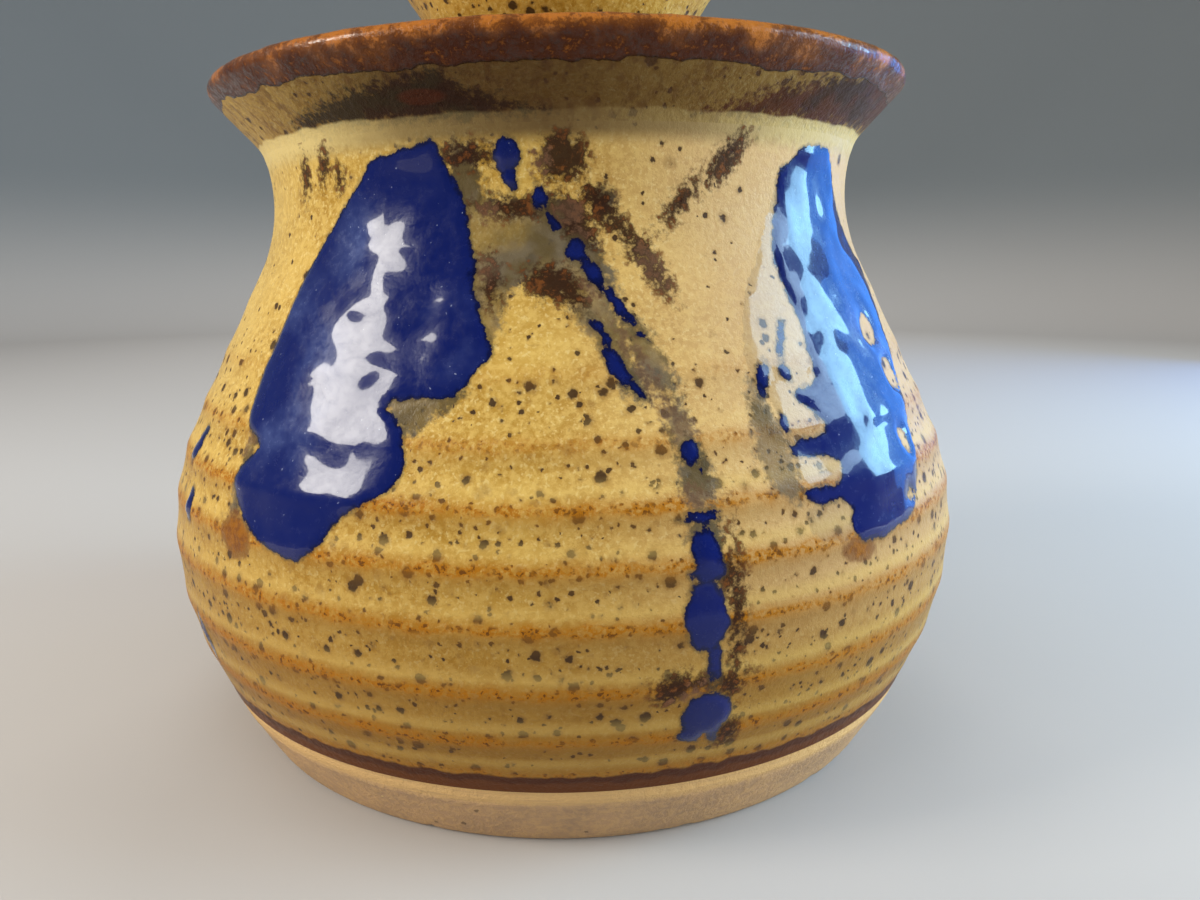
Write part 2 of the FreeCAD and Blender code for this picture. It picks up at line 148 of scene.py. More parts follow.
def straight(start, end, row):
    """Points a row apart along a straight line."""
    steps = max(1, round(math.dist(start, end) / row))
    return [tuple(a + (b - a) * step / steps for a, b in zip(start, end)) for step in range(steps + 1)]


def eased(start, corner, end, row):
    """Points along a curve that rounds off a corner."""
    steps = max(2, round(math.dist(start, end) / row))
    points = []
    for step in range(steps + 1):
        t = step / steps
        weights = ((1 - t) ** 2, 2 * t * (1 - t), t ** 2)
        points.append(tuple(sum(w * p[i] for w, p in zip(weights, (start, corner, end))) for i in (0, 1)))
    return points


def joined(*stretches):
    """One outline from stretches that follow each other."""
    outline = []
    for stretch in stretches:
        outline += [point for point in stretch if not outline or math.dist(point, outline[-1]) > 1e-4]
    return outline


def angle_to(centre, point):
    """Direction from a centre to a point, in degrees."""
    return math.degrees(math.atan2(point[1] - centre[1], point[0] - centre[0]))


def smooth_line(first, first_side, second, second_side):
    """Ends of the line that touches two circles, each on its signed side."""
    reach = math.dist(first, second)
    heading = math.atan2(second[1] - first[1], second[0] - first[0])
    heading -= math.asin((second_side - first_side) / reach)
    left = (-math.sin(heading), math.cos(heading))
    circles = ((first, first_side), (second, second_side))
    return [(centre[0] - side * left[0], centre[1] - side * left[1]) for centre, side in circles]


def toward(start, end, reach):
    """The point a distance from one point on the way to another."""
    share = reach / math.dist(start, end)
    return tuple(a + (b - a) * share for a, b in zip(start, end))


def soft_run(start, corners, end, rows, edge):
    """Straight stretches past some corners, each corner rounded off. Each stretch has its own row."""
    stretches, here = [], start
    for corner, after, row in zip(corners, corners[1:] + [end], rows):
        entry, leave = toward(corner, here, SOFT_EDGE), toward(corner, after, SOFT_EDGE)
        stretches += [straight(here, entry, row), eased(entry, corner, leave, edge)]
        here = leave
    return joined(*stretches, straight(here, end, rows[-1]))


BELLY_CENTRE = (BELLY_RADIUS - BELLY_CURVE, BELLY_HEIGHT)
NECK_CENTRE = (NECK_RADIUS + NECK_CURVE, NECK_HEIGHT)
GLAZE_DROP = BELLY_HEIGHT - GLAZE_LINE[1]
GLAZE_INSET = BELLY_RADIUS - GLAZE_LINE[0]
LOWER_CURVE = (GLAZE_DROP ** 2 + GLAZE_INSET ** 2) / (2 * GLAZE_INSET)
LOWER_CENTRE = (BELLY_RADIUS - LOWER_CURVE, BELLY_HEIGHT)
SHOULDER_LOW, SHOULDER_HIGH = smooth_line(BELLY_CENTRE, BELLY_CURVE, NECK_CENTRE, -NECK_CURVE)
CREASE = (
    NECK_CENTRE[0] - math.sqrt(NECK_CURVE ** 2 - (CREASE_HEIGHT - NECK_HEIGHT) ** 2), CREASE_HEIGHT)
LIP_OUTER = (LIP_RADIUS - LIP_OUTER_ROUND, LIP_TOP - LIP_OUTER_ROUND)
LIP_INNER = (LIP_RADIUS - LIP_THICKNESS + LIP_INNER_ROUND, LIP_TOP - LIP_INNER_ROUND)
_, LIP_UNDER = smooth_line(CREASE, 0.0, LIP_OUTER, LIP_OUTER_ROUND)
GALLERY_CORNER = (GALLERY_RADIUS, LEDGE_HEIGHT)
_, LIP_INSIDE = smooth_line(GALLERY_CORNER, 0.0, LIP_INNER, -LIP_INNER_ROUND)
GALLERY_INSIDE_CLAY = (GALLERY_RADIUS + 0.6, LEDGE_HEIGHT - 0.6)
FILLET_REACH = 1.2
CREASE_ANGLE = angle_to(NECK_CENTRE, CREASE)
NECK_END_ANGLE = CREASE_ANGLE + math.degrees(FILLET_REACH / NECK_CURVE)
NECK_END = on_circle(NECK_CENTRE, NECK_CURVE, NECK_END_ANGLE)
LIP_START = toward(CREASE, LIP_UNDER, FILLET_REACH)
GLAZE_EDGE = (
    FOOT_EDGE[0] + (GLAZE_LINE[0] - FOOT_EDGE[0]) * (GLAZE_EDGE_HEIGHT - FOOT_EDGE[1])
    / (GLAZE_LINE[1] - FOOT_EDGE[1]), GLAZE_EDGE_HEIGHT)


def wall_outline():
    """The glazed outside, from the glaze's edge above the foot to the crease under the lip."""
    return joined(
        straight(GLAZE_EDGE, GLAZE_LINE, WALL_ROW / 2),
        arc(LOWER_CENTRE, LOWER_CURVE, angle_to(LOWER_CENTRE, GLAZE_LINE), 0.0, WALL_ROW),
        arc(BELLY_CENTRE, BELLY_CURVE, 0.0, angle_to(BELLY_CENTRE, SHOULDER_LOW), WALL_ROW),
        straight(SHOULDER_LOW, SHOULDER_HIGH, WALL_ROW),
        arc(NECK_CENTRE, NECK_CURVE, angle_to(NECK_CENTRE, SHOULDER_HIGH) % 360, NECK_END_ANGLE, WALL_ROW))


OUTSIDE = np.array(wall_outline())


def radius_at(height):
    """Radius of the glazed outside at a height."""
    return np.interp(height, OUTSIDE[:, 1], OUTSIDE[:, 0])


def clay_middle():
    """A rough line up the middle of the clay wall, which nothing shows."""
    return [(float(radius_at(height)) - WALL / 2, height) for height in CLAY_HEIGHTS]


def lip_outline():
    """The lip, from the crease under it, over its top, to the corner of the gallery."""
    return joined(
        eased(NECK_END, CREASE, LIP_START, LIP_ROW),
        straight(LIP_START, LIP_UNDER, LIP_ROW),
        arc(LIP_OUTER, LIP_OUTER_ROUND, angle_to(LIP_OUTER, LIP_UNDER), 90.0, LIP_ROW),
        straight((LIP_OUTER[0], LIP_TOP), (LIP_INNER[0], LIP_TOP), LIP_ROW),
        arc(LIP_INNER, LIP_INNER_ROUND, 90.0, angle_to(LIP_INNER, LIP_INSIDE) % 360, LIP_ROW),
        straight(LIP_INSIDE, GALLERY_CORNER, LIP_ROW))


def liner_outline():
    """The inside, from the corner of the gallery, over the ledge and down to the middle of the floor."""
    neck_curve = NECK_CURVE + WALL
    mouth = (NECK_CENTRE[0] - math.sqrt(neck_curve ** 2 - (LEDGE_HEIGHT - NECK_HEIGHT) ** 2), LEDGE_HEIGHT)
    low, high = smooth_line(BELLY_CENTRE, BELLY_CURVE - WALL, NECK_CENTRE, -neck_curve)
    reach = LOWER_CURVE - WALL - FLOOR_CORNER
    corner_height = FLOOR + FLOOR_CORNER
    side = math.sqrt(reach ** 2 - (BELLY_HEIGHT - corner_height) ** 2)
    corner = (LOWER_CENTRE[0] + side, corner_height)
    turn = angle_to(LOWER_CENTRE, corner)
    return joined(
        straight(GALLERY_CORNER, mouth, LINER_ROW / 2),
        arc(NECK_CENTRE, neck_curve, angle_to(NECK_CENTRE, mouth) % 360,
            angle_to(NECK_CENTRE, high) % 360, LINER_ROW),
        straight(high, low, LINER_ROW),
        arc(BELLY_CENTRE, BELLY_CURVE - WALL, angle_to(BELLY_CENTRE, low), 0.0, LINER_ROW),
        arc(LOWER_CENTRE, LOWER_CURVE - WALL, 0.0, turn, LINER_ROW),
        arc(corner, FLOOR_CORNER, turn, -90.0, LINER_ROW),
        straight((corner[0], FLOOR), (0.0, FLOOR), LINER_ROW))


def foot_outline():
    """The bare foot, from under the glaze's edge, round the foot ring, to the middle of the recess."""
    foot = (FOOT_RADIUS, 0.0)
    recess = (RECESS_RADIUS, RECESS_DEPTH)
    under_glaze = (GLAZE_EDGE[0] - GLAZE_THICKNESS, GLAZE_EDGE[1] + GLAZE_THICKNESS)
    edge_low = toward(FOOT_EDGE, foot, SOFT_EDGE)
    edge_high = toward(FOOT_EDGE, GLAZE_EDGE, SOFT_EDGE)
    row = LID_ROW
    edge = row / 3
    return joined(
        straight(under_glaze, edge_high, row / 2),
        eased(edge_high, FOOT_EDGE, edge_low, edge),
        soft_run(edge_low, [foot, (RECESS_RADIUS, 0.0)], recess, [row, row, row / 2], edge),
        straight(recess, (0.0, RECESS_DEPTH), row * 2))


def lid_outline():
    """The lid, from the middle of its top, over its edge and flange, to the middle of its ceiling."""
    waist_side = math.sqrt(WAIST_CURVE ** 2 - WAIST_HEIGHT ** 2)
    land = (KNOB_WAIST + WAIST_CURVE - waist_side + SEAT_LAND, LID_TOP)
    rim = (LID_RADIUS, LEDGE_HEIGHT + LID_EDGE)
    side, drop = rim[0] - land[0], land[1] - rim[1]
    curve = (side ** 2 + drop ** 2) / (2 * drop)
    centre = (land[0], land[1] - curve)
    inside = curve - LID_WALL
    ceiling_end = (FLANGE_INSIDE, centre[1] + math.sqrt(inside ** 2 - (FLANGE_INSIDE - centre[0]) ** 2))
    top_end = angle_to(centre, rim) + math.degrees(SOFT_EDGE / curve)
    rim_low = (rim[0], rim[1] - SOFT_EDGE)
    base = (LID_RADIUS, LEDGE_HEIGHT)
    root = (FLANGE_RADIUS, LEDGE_HEIGHT)
    flange_foot = [(FLANGE_RADIUS, FLANGE_FOOT), (FLANGE_INSIDE, FLANGE_FOOT)]
    row = LID_ROW
    edge = row / 3
    return joined(
        straight((0.0, LID_TOP), land, row),
        arc(centre, curve, 90.0, top_end, row),
        eased(on_circle(centre, curve, top_end), rim, rim_low, edge),
        soft_run(rim_low, [base], root, [row, row], edge),
        soft_run(root, flange_foot, ceiling_end, [row, edge, row], edge),
        arc(centre, inside, angle_to(centre, ceiling_end), 90.0, row),
        straight((land[0], LID_TOP - LID_WALL), (0.0, LID_TOP - LID_WALL), row))


def knob_outline():
    """The knob, from the middle of its foot, up the flare and over the rim, to the middle of its dish."""
    waist = (KNOB_WAIST + WAIST_CURVE, LID_TOP + WAIST_HEIGHT)
    rim = (KNOB_RADIUS - KNOB_RIM, KNOB_TOP - KNOB_RIM)
    low, high = smooth_line(waist, -WAIST_CURVE, rim, KNOB_RIM)
    root = (waist[0] - math.sqrt(WAIST_CURVE ** 2 - WAIST_HEIGHT ** 2), LID_TOP)
    dish_curve = (rim[0] ** 2 + KNOB_DISH ** 2) / (2 * KNOB_DISH)
    dish_centre = (0.0, KNOB_TOP - KNOB_DISH + dish_curve)
    row = LID_ROW * 0.7
    return joined(
        straight((0.0, LID_TOP), root, row * 2),
        arc(waist, WAIST_CURVE, angle_to(waist, root) % 360, angle_to(waist, low) % 360, row / 2),
        straight(low, high, row),
        arc(rim, KNOB_RIM, angle_to(rim, high), 90.0, row / 3),
        arc(dish_centre, dish_curve, angle_to(dish_centre, (rim[0], KNOB_TOP)), -90.0, row))


# Glaze poured and dripped on the wall. An outline is (angle, height) points; a
# mark is (angle, height, half its width, half its length, lean in degrees).

LEFT_POUR = [
    (-24.4, 88.3), (-28.4, 87.5), (-32.6, 84.0), (-37.4, 79.7), (-41.4, 74.8), (-43.0, 68.0),
    (-43.8, 60.0), (-43.8, 56.1), (-42.4, 53.7), (-39.2, 52.4), (-38.6, 51.5), (-41.0, 49.1),
    (-41.6, 47.2), (-39.4, 43.6), (-35.2, 40.8), (-29.2, 39.2), (-27.4, 40.0), (-25.4, 42.0),
    (-23.0, 45.2), (-21.8, 46.0), (-18.2, 48.0), (-16.6, 49.9), (-16.4, 52.6), (-17.0, 55.0),
    (-18.8, 57.0), (-20.0, 58.3), (-18.0, 58.9), (-13.0, 58.8), (-10.8, 59.6), (-8.6, 62.3),
    (-7.0, 63.9), (-7.6, 66.1), (-9.4, 68.5), (-9.0, 70.1), (-10.8, 71.2), (-10.0, 74.1),
    (-11.6, 76.7), (-12.0, 79.7), (-13.0, 83.2), (-15.6, 85.5), (-16.0, 88.7), (-18.4, 89.4),
    (-20.8, 88.3)]
RIGHT_POUR = [
    (39.9, 85.5), (39.2, 81.2), (35.8, 75.6), (36.0, 70.6), (37.6, 65.8), (36.4, 62.6),
    (36.4, 59.1), (31.6, 58.8), (32.4, 57.2), (36.6, 53.6), (29.0, 53.0), (29.2, 51.2),
    (36.2, 50.7), (35.8, 48.6), (34.6, 47.3), (29.2, 47.7), (29.6, 45.9), (36.6, 45.4),
    (35.4, 42.0), (37.2, 39.9), (42.2, 40.0), (47.2, 40.8), (49.6, 42.0), (53.4, 47.6),
    (55.8, 52.9), (60.4, 60.2), (63.4, 66.1), (68.5, 73.6), (61.2, 80.4), (57.0, 87.9),
    (50.8, 89.2), (46.0, 88.3)]
POUR_GAPS = [
    (54.5, 64.5, 2.4, 2.0, 25.0), (56.4, 58.6, 1.8, 2.2, 20.0), (51.8, 50.0, 1.3, 1.6, 5.0),
    (66.2, 79.0, 1.0, 4.0, -12.0), (49.0, 43.6, 1.2, 0.9, 20.0)]
DRIPS = [
    (-5.9, 87.0, 1.7, 1.9, 0.0), (-5.4, 84.2, 0.8, 2.0, 8.0), (-1.2, 82.0, 0.9, 1.8, 8.0),
    (0.4, 79.4, 0.45, 1.8, 38.0), (4.0, 75.9, 1.2, 1.6, 10.0), (6.2, 73.0, 0.9, 2.6, 32.0),
    (9.4, 69.0, 0.7, 3.4, 36.0), (12.2, 65.8, 0.3, 1.8, 42.0), (7.0, 66.0, 0.6, 2.2, 30.0),
    (8.2, 62.8, 1.0, 2.9, 26.0), (10.2, 60.2, 0.5, 1.4, 42.0), (15.8, 53.0, 1.2, 1.2, 0.0),
    (16.8, 51.0, 0.3, 1.6, 12.0), (16.0, 46.0, 2.2, 0.75, 0.0), (16.3, 42.4, 1.8, 2.4, 4.0),
    (16.5, 39.9, 2.1, 1.3, 0.0), (16.2, 34.6, 2.8, 4.3, 0.0), (17.3, 29.0, 1.0, 3.0, 4.0),
    (17.2, 26.4, 0.45, 2.4, 0.0), (16.8, 21.6, 3.2, 3.1, 0.0), (15.4, 18.9, 1.5, 1.0, -10.0),
    (17.9, 18.2, 0.7, 1.2, 10.0), (32.4, 64.8, 0.6, 2.2, -28.0), (27.4, 60.4, 0.9, 2.0, -25.0),
    (31.4, 60.6, 0.9, 1.2, 10.0), (28.9, 54.9, 0.5, 1.0, 0.0), (-56.5, 49.2, 1.4, 2.8, -28.0),
    (-53.8, 41.6, 1.1, 2.2, 0.0), (-52.4, 22.4, 0.9, 3.9, 12.0)]

# Clear glossy glaze over the ochre, inside the left edge of the right pour
CLEAR = [
    (39.6, 84.0), (36.6, 79.5), (33.0, 74.5), (28.8, 70.9), (27.0, 67.4), (25.4, 61.8), (27.4, 59.3),
    (28.4, 55.9), (29.0, 52.5), (29.0, 47.5), (40.0, 46.0), (42.0, 60.0), (41.0, 75.0), (43.0, 84.0)]
CLEAR_BELOW = [(29.0, 46.2), (37.0, 45.4), (36.0, 40.4), (29.2, 41.6)]

# Grey and olive smears beside the pours
SMEAR = [
    (-15.8, 89.3), (-10.6, 88.8), (-10.0, 85.0), (-9.0, 82.2), (-0.4, 81.6), (3.4, 79.0), (6.4, 76.0),
    (8.0, 72.0), (9.6, 66.0), (12.6, 58.0), (9.6, 58.4), (6.4, 64.4), (2.4, 69.4), (-3.0, 72.6),
    (-5.4, 70.4), (-6.6, 65.6), (-9.0, 63.0), (-12.0, 66.0), (-14.0, 75.0), (-14.5, 83.0)]
SMEAR_BELOW = [
    (-21.0, 59.4), (-14.0, 59.6), (-9.6, 60.4), (-10.8, 58.6), (-13.2, 56.8), (-16.4, 54.4), (-18.5, 55.5)]
SMEAR_RIGHT = [
    (25.2, 61.6), (27.0, 58.5), (28.2, 55.6), (29.0, 52.6), (29.2, 46.0), (26.0, 46.6), (24.4, 50.3),
    (24.2, 55.9)]
SMEARS = [
    (5.4, 75.4, 1.9, 5.4, 32.0), (12.4, 63.4, 1.9, 6.0, 27.0), (15.2, 55.0, 1.7, 3.4, 8.0),
    (16.2, 50.0, 2.2, 3.4, 4.0), (16.4, 43.4, 2.3, 2.8, 0.0), (1.6, 80.0, 2.9, 2.2, -30.0),
    (4.0, 72.6, 3.4, 1.6, -32.0), (-5.0, 81.0, 3.8, 1.1, 0.0), (-40.4, 50.8, 1.2, 3.4, 0.0),
    (-40.6, 45.4, 1.2, 3.2, 0.0), (8.2, 81.6, 1.6, 1.8, 0.0), (1.5, 74.4, 1.8, 1.6, 0.0)]
IRON_MARKS = [
    (2.2, 86.6, 2.7, 2.4, 0.0), (0.6, 72.0, 2.6, 1.7, -8.0), (3.2, 70.6, 1.6, 1.0, -30.0),
    (8.0, 80.6, 1.3, 2.6, 38.0), (10.8, 78.2, 0.8, 1.8, 46.0), (13.2, 75.6, 1.2, 1.7, 36.0),
    (15.0, 73.2, 1.0, 2.2, 30.0), (28.4, 86.4, 1.2, 3.0, -42.0), (20.6, 81.4, 0.7, 2.3, -45.0),
    (-4.6, 80.9, 3.4, 0.8, 0.0), (4.0, 79.0, 1.5, 2.8, 34.0), (-8.0, 72.4, 0.9, 1.9, 10.0),
    (-39.5, 87.2, 0.6, 1.3, -20.0), (-45.5, 86.0, 0.7, 1.6, -10.0), (-36.0, 85.6, 0.5, 0.8, 0.0),
    (19.6, 34.6, 0.6, 4.6, 0.0), (18.4, 39.6, 0.9, 1.4, 0.0), (12.8, 25.8, 1.8, 1.5, 40.0),
    (16.4, 26.2, 3.0, 0.7, 0.0), (19.2, 25.4, 0.9, 1.2, 0.0), (19.6, 18.4, 1.1, 1.5, 0.0),
    (-12.0, 87.2, 2.6, 1.0, 0.0)]
COPPER_SPOTS = [
    (-39.4, 40.6, 3.2, 2.6, -20.0), (36.6, 39.2, 2.9, 1.4, -8.0)]
COPPER_GLINTS = [
    (16.0, 48.5, 1.7, 1.2, 0.0), (15.6, 55.4, 1.4, 1.6, 0.0), (13.2, 59.0, 1.3, 3.4, 26.0),
    (11.2, 63.0, 0.9, 3.4, 30.0), (6.0, 71.4, 1.2, 1.4, 20.0), (2.8, 80.2, 1.7, 1.3, 0.0),
    (4.6, 77.6, 0.9, 0.9, 0.0), (14.6, 73.8, 1.1, 2.6, 36.0), (-9.2, 80.6, 1.3, 1.0, 0.0),
    (-9.0, 73.4, 1.7, 1.4, 0.0), (14.8, 24.8, 2.4, 1.1, 30.0), (-1.2, 86.4, 1.4, 1.8, 0.0),
    (-41.0, 52.2, 1.0, 1.8, 0.0)]

# The same kind of pours on the back, turned and mirrored
BACK_POURS = [(LEFT_POUR, 152.0, -1.0, 0.96), (RIGHT_POUR, -166.0, -1.0, 1.04)]
BACK_DRIPS_TURN = 196.0

# Marks on the underside of the lip: a dark patch with a red spot in it, and a smear
LIP_PATCH = [
    (-46.0, 92.0), (-40.0, 93.4), (-32.0, 94.6), (-21.0, 95.6), (-13.0, 96.6), (-12.0, 95.0), (-7.8, 93.6),
    (-2.0, 92.4), (3.0, 91.6), (-13.6, 91.2), (-28.0, 91.3), (-38.0, 91.6)]
LIP_SMEAR = [
    (23.0, 91.9), (29.6, 92.8), (32.6, 94.0), (41.0, 95.6), (50.0, 97.4), (62.0, 98.5), (84.0, 98.5),
    (86.0, 94.5), (72.0, 92.0), (47.0, 91.5), (35.0, 91.3), (26.0, 91.4)]
LIP_RED_SPOT = [(-17.2, 93.6, 2.8, 0.75, 0.0)]

# Height of the iron band's lower edge at some angles round the lip
BAND_LINE_TURNS = [-180.0, -90.0, -58.0, -35.0, 0.0, 40.0, 60.0, 90.0, 180.0]
BAND_LINE_HEIGHTS = [96.6, 97.0, 97.2, 96.6, 96.2, 96.4, 96.8, 96.4, 96.6]

# Where a hazy sheen is painted on the cobalt
HAZY_PLACES = [(-36.0, 60.0, 8.0, 12.0, 10.0), (-30.0, 76.0, 5.0, 6.0, 20.0), (-12.0, 66.0, 4.0, 4.0, 0.0),
               (54.0, 66.0, 8.0, 10.0, 0.0)]


# Distances that the glazes follow, in millimetres

FAR = 6.0


def smoothstep(low, high, value):
    """0 below low, 1 above high, and a smooth rise between."""
    t = np.clip((value - low) / (high - low), 0.0, 1.0)
    return t * t * (3 - 2 * t)


def half_turn(angles):
    """The same angles, kept between minus and plus half a turn."""
    return (angles + math.pi) % (2 * math.pi) - math.pi


def capped(distance):
    """A distance kept within what the finishes read."""
    return np.clip(distance, -FAR, FAR)


def waver(places, size, seed):
    """Smooth noise from -1 to 1 at places in millimetres, with lumps of a size."""
    offset = Vector((seed * 7.3, seed * 3.1, seed * 5.7))
    return np.array([noise.noise(Vector(place) / size + offset) for place in places])


def cut_corners(points):
    """A closed outline with its corners cut once, so that it is rounder."""
    after = np.roll(points, -1, axis=0)
    return np.stack([0.75 * points + 0.25 * after, 0.25 * points + 0.75 * after], axis=1).reshape(-1, 2)


def outline_distance(angles, heights, outline, turn=0.0, mirror=1.0, rise=1.0):
    """Distance into a closed outline, in millimetres, negative outside it."""
    corners = np.array(outline)
    corner_angles, corner_heights = np.radians(corners[:, 0] * mirror + turn), corners[:, 1] * rise
    middle = corner_angles.mean()
    radii = radius_at(corner_heights)
    points = cut_corners(np.stack([(corner_angles - middle) * radii, corner_heights], axis=1))
    x, y = half_turn(angles - middle) * radius_at(heights), heights
    best = np.full(len(x), np.inf)
    inside = np.zeros(len(x), bool)
    for (ax, ay), (bx, by) in zip(points, np.roll(points, -1, axis=0)):
        run, climb = bx - ax, by - ay
        along = np.clip(((x - ax) * run + (y - ay) * climb) / (run ** 2 + climb ** 2), 0, 1)
        best = np.minimum(best, np.hypot(x - ax - along * run, y - ay - along * climb))
        if climb:
            inside ^= ((ay > y) != (by > y)) & (x < run * (y - ay) / climb + ax)
    return np.where(inside, best, -best)


def marks_distance(angles, heights, marks, turn=0.0):
    """Distance into the nearest of some leaning oval marks, in millimetres, negative outside them."""
    best = np.full(len(angles), -99.0)
    for angle, height, half_width, half_length, lean in marks:
        x = half_turn(angles - math.radians(angle + turn)) * radius_at(heights)
        y = heights - height
        tilt = math.radians(lean)
        across = x * math.cos(tilt) + y * math.sin(tilt)
        along = y * math.cos(tilt) - x * math.sin(tilt)
        round_share = np.hypot(across / half_width, along / half_length)
        best = np.maximum(best, (1 - round_share) * min(half_width, half_length))
    return best


def ridge_distance(angles, heights):
    """Signed height above the nearest throwing ridge, and the depth of the hollow there."""
    wander = RIDGE_WANDER * np.sin(angles + 0.6) + 0.5 * RIDGE_WANDER * np.sin(3 * angles + heights / 9)
    level = heights - wander
    ridges = np.array(RIDGES)
    nearest = ridges[np.abs(level[:, None] - ridges[None]).argmin(axis=1)]
    depth = np.zeros(len(level))
    for low, high, hollow in zip(RIDGES, RIDGES[1:], HOLLOWS):
        t = np.clip((level - low) / (high - low), 0, 1)
        depth += hollow * (np.hypot(4 * t * (1 - t), CREST_ROUND) - CREST_ROUND)
    return level - nearest, depth


def lean(places):
    """The handmade lean of the top of the pot, and the tilt of its rim."""
    share = smoothstep(LEAN_FROM, LEAN_TO, places[:, 2])
    tilt = share * (1 - smoothstep(LID_TOP, KNOB_TOP, places[:, 2]))
    places[:, 2] += tilt * RIM_TILT * places[:, 0]
    places[:, 0] += TOP_SHIFT * share
    return places


# Turned pieces


def turned(name, outline, closing=(), steps=STEPS_ROUND):
    """A closed shape turned from an outline. Its closing points run inside the clay, out of sight."""
    rows = list(outline) + list(closing)
    if rows[0][0] > 0 or rows[-1][0] > 0:
        rows.append(rows[0])
    shape = bmesh.new()
    bmesh.ops.create_cone(shape, cap_ends=False, segments=steps, radius1=1.0, radius2=1.0, depth=1.0)
    upright = [edge for edge in shape.edges if abs(edge.verts[0].co.z - edge.verts[1].co.z) > 0.5]
    bmesh.ops.subdivide_edges(shape, edges=upright, cuts=len(rows) - 2, use_grid_fill=True)
    mesh = bpy.data.meshes.new(name)
    shape.to_mesh(mesh)
    shape.free()
    flat = read(mesh.vertices, "co", 3)
    row = np.rint((flat[:, 2] + 0.5) * (len(rows) - 1)).astype(int)
    angles = np.arctan2(flat[:, 0], -flat[:, 1])
    places = np.array(rows)[row]
    mesh.vertices.foreach_set("co", np.stack([
        places[:, 0] * np.sin(angles), -places[:, 0] * np.cos(angles), places[:, 1]], axis=1).ravel())
    seen = np.array([1.0] * len(outline) + [0.0] * (len(rows) - len(outline)))
    write(mesh, seen=seen[row])
    lay_out(mesh, rows, row, angles, len(outline))
    return closed(mesh)


def closed(mesh):
    """The mesh with its seam and poles merged and its faces pointing outwards."""
    shape = bmesh.new()
    shape.from_mesh(mesh)
    bmesh.ops.remove_doubles(shape, verts=shape.verts, dist=1e-4)
    bmesh.ops.recalc_face_normals(shape, faces=shape.faces)
    shape.to_mesh(mesh)
    shape.free()
    mesh.polygons.foreach_set("use_smooth", np.ones(len(mesh.polygons), bool))
    return mesh


def read(collection, name, width=1):
    """One value of every element, as an array."""
    values = np.empty(len(collection) * width, np.float32)
    collection.foreach_get(name, values)
    return values.reshape(-1, width).astype(float) if width > 1 else values.astype(float)


def write(mesh, **marks):
    """Stores numbers at every point of a mesh, for its material to read."""
    for name, values in marks.items():
        attribute = mesh.attributes.new(name, "FLOAT", "POINT")
        attribute.data.foreach_set("value", np.asarray(values, np.float32))


def lay_out(mesh, rows, row, angles, seen_rows):
    """Flattens the shape for its baked finish: front half below, back half above, hidden faces between."""
    steps = np.hypot(*np.diff(np.array(rows[:seen_rows]), axis=0).T)
    along = np.concatenate([[0], np.cumsum(steps)]) / steps.sum()
    along = np.concatenate([along, np.ones(len(rows) - seen_rows)])
    corners = np.empty(len(mesh.loops), np.int32)
    mesh.loops.foreach_get("vertex_index", corners)
    quads = corners.reshape(-1, 4)
    first = angles[quads[:, :1]]
    turn = half_turn(angles[quads] - first) + first
    front = np.abs(half_turn(turn.mean(axis=1))) < math.pi / 2
    centre = np.where(front, 0.0, math.pi)[:, None]
    across = 0.01 + 0.98 * (half_turn(turn - centre) / math.pi + 0.5)
    up = np.where(front, 0.005, 0.515)[:, None] + 0.48 * along[row[quads]]
    hidden = (row[quads].max(axis=1) >= seen_rows)[:, None]
    up = np.where(hidden, 0.5, up)
    layer = mesh.uv_layers.new(name="OFBake")
    layer.data.foreach_set("uv", np.stack([across, up], axis=2).astype(np.float32).ravel())


def finish_piece(name, mesh, material, body, node):
    """Puts a finished mesh in the scene, in metres, as one piece that rides on a body."""
    places = lean(read(mesh.vertices, "co", 3))
    mesh.vertices.foreach_set("co", (places * MM).ravel())
    mesh.set_sharp_from_angle(angle=math.radians(SHARP_TURN))
    mesh.materials.append(material)
    piece = bpy.data.objects.new(name, mesh)
    bpy.context.scene.collection.objects.link(piece)
    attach(piece, body)
    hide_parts(node)


def where_it_lies(mesh):
    """Places of a mesh in millimetres, their angles round from the front, radii and heights."""
    places = read(mesh.vertices, "co", 3)
    angles = np.arctan2(places[:, 0], -places[:, 1])
    return places, angles, np.hypot(places[:, 0], places[:, 1]), places[:, 2]


def pushed_out(mesh, places, proud):
    """Moves the points of a mesh along their normals, by millimetres, where they show."""
    normals = read(mesh.vertex_normals, "vector", 3)
    seen = read(mesh.attributes["seen"].data, "value")
    places = places + normals * (proud * seen)[:, None]
    mesh.vertices.foreach_set("co", places.ravel())
    mesh.update()


# Shader steps


def feed(tree, node, inputs):
    """Sets a node's inputs to plain values, or links them to the outputs of other nodes."""
    for name, value in inputs.items():
        if isinstance(value, bpy.types.NodeSocket):
            tree.links.new(value, node.inputs[name])
        else:
            node.inputs[name].default_value = value


def add(tree, kind, inputs=None, **settings):
    """A node with its settings and inputs."""
    made = tree.nodes.new(kind)
    for name, value in settings.items():
        setattr(made, name, value)
    feed(tree, made, inputs or {})
    return made


def number(tree, operation, *values):
    """One step of arithmetic."""
    return add(tree, "ShaderNodeMath", dict(enumerate(values)), operation=operation).outputs[0]


def times(tree, first, second):
    """The product of two numbers."""
    return number(tree, "MULTIPLY", first, second)


def plus(tree, first, second):
    """The sum of two numbers."""
    return number(tree, "ADD", first, second)


def between(tree, value, low, high, start=0.0, end=1.0):
    """A smooth change from start to end as a value goes from low to high."""
    return add(tree, "ShaderNodeMapRange", {
        "Value": value, "From Min": low, "From Max": high, "To Min": start, "To Max": end,
    }, interpolation_type="SMOOTHSTEP").outputs["Result"]


def mixed(tree, share, first, second):
    """Two colours mixed by a share."""
    return add(tree, "ShaderNodeMix", {0: share, 6: first, 7: second}, data_type="RGBA").outputs[2]


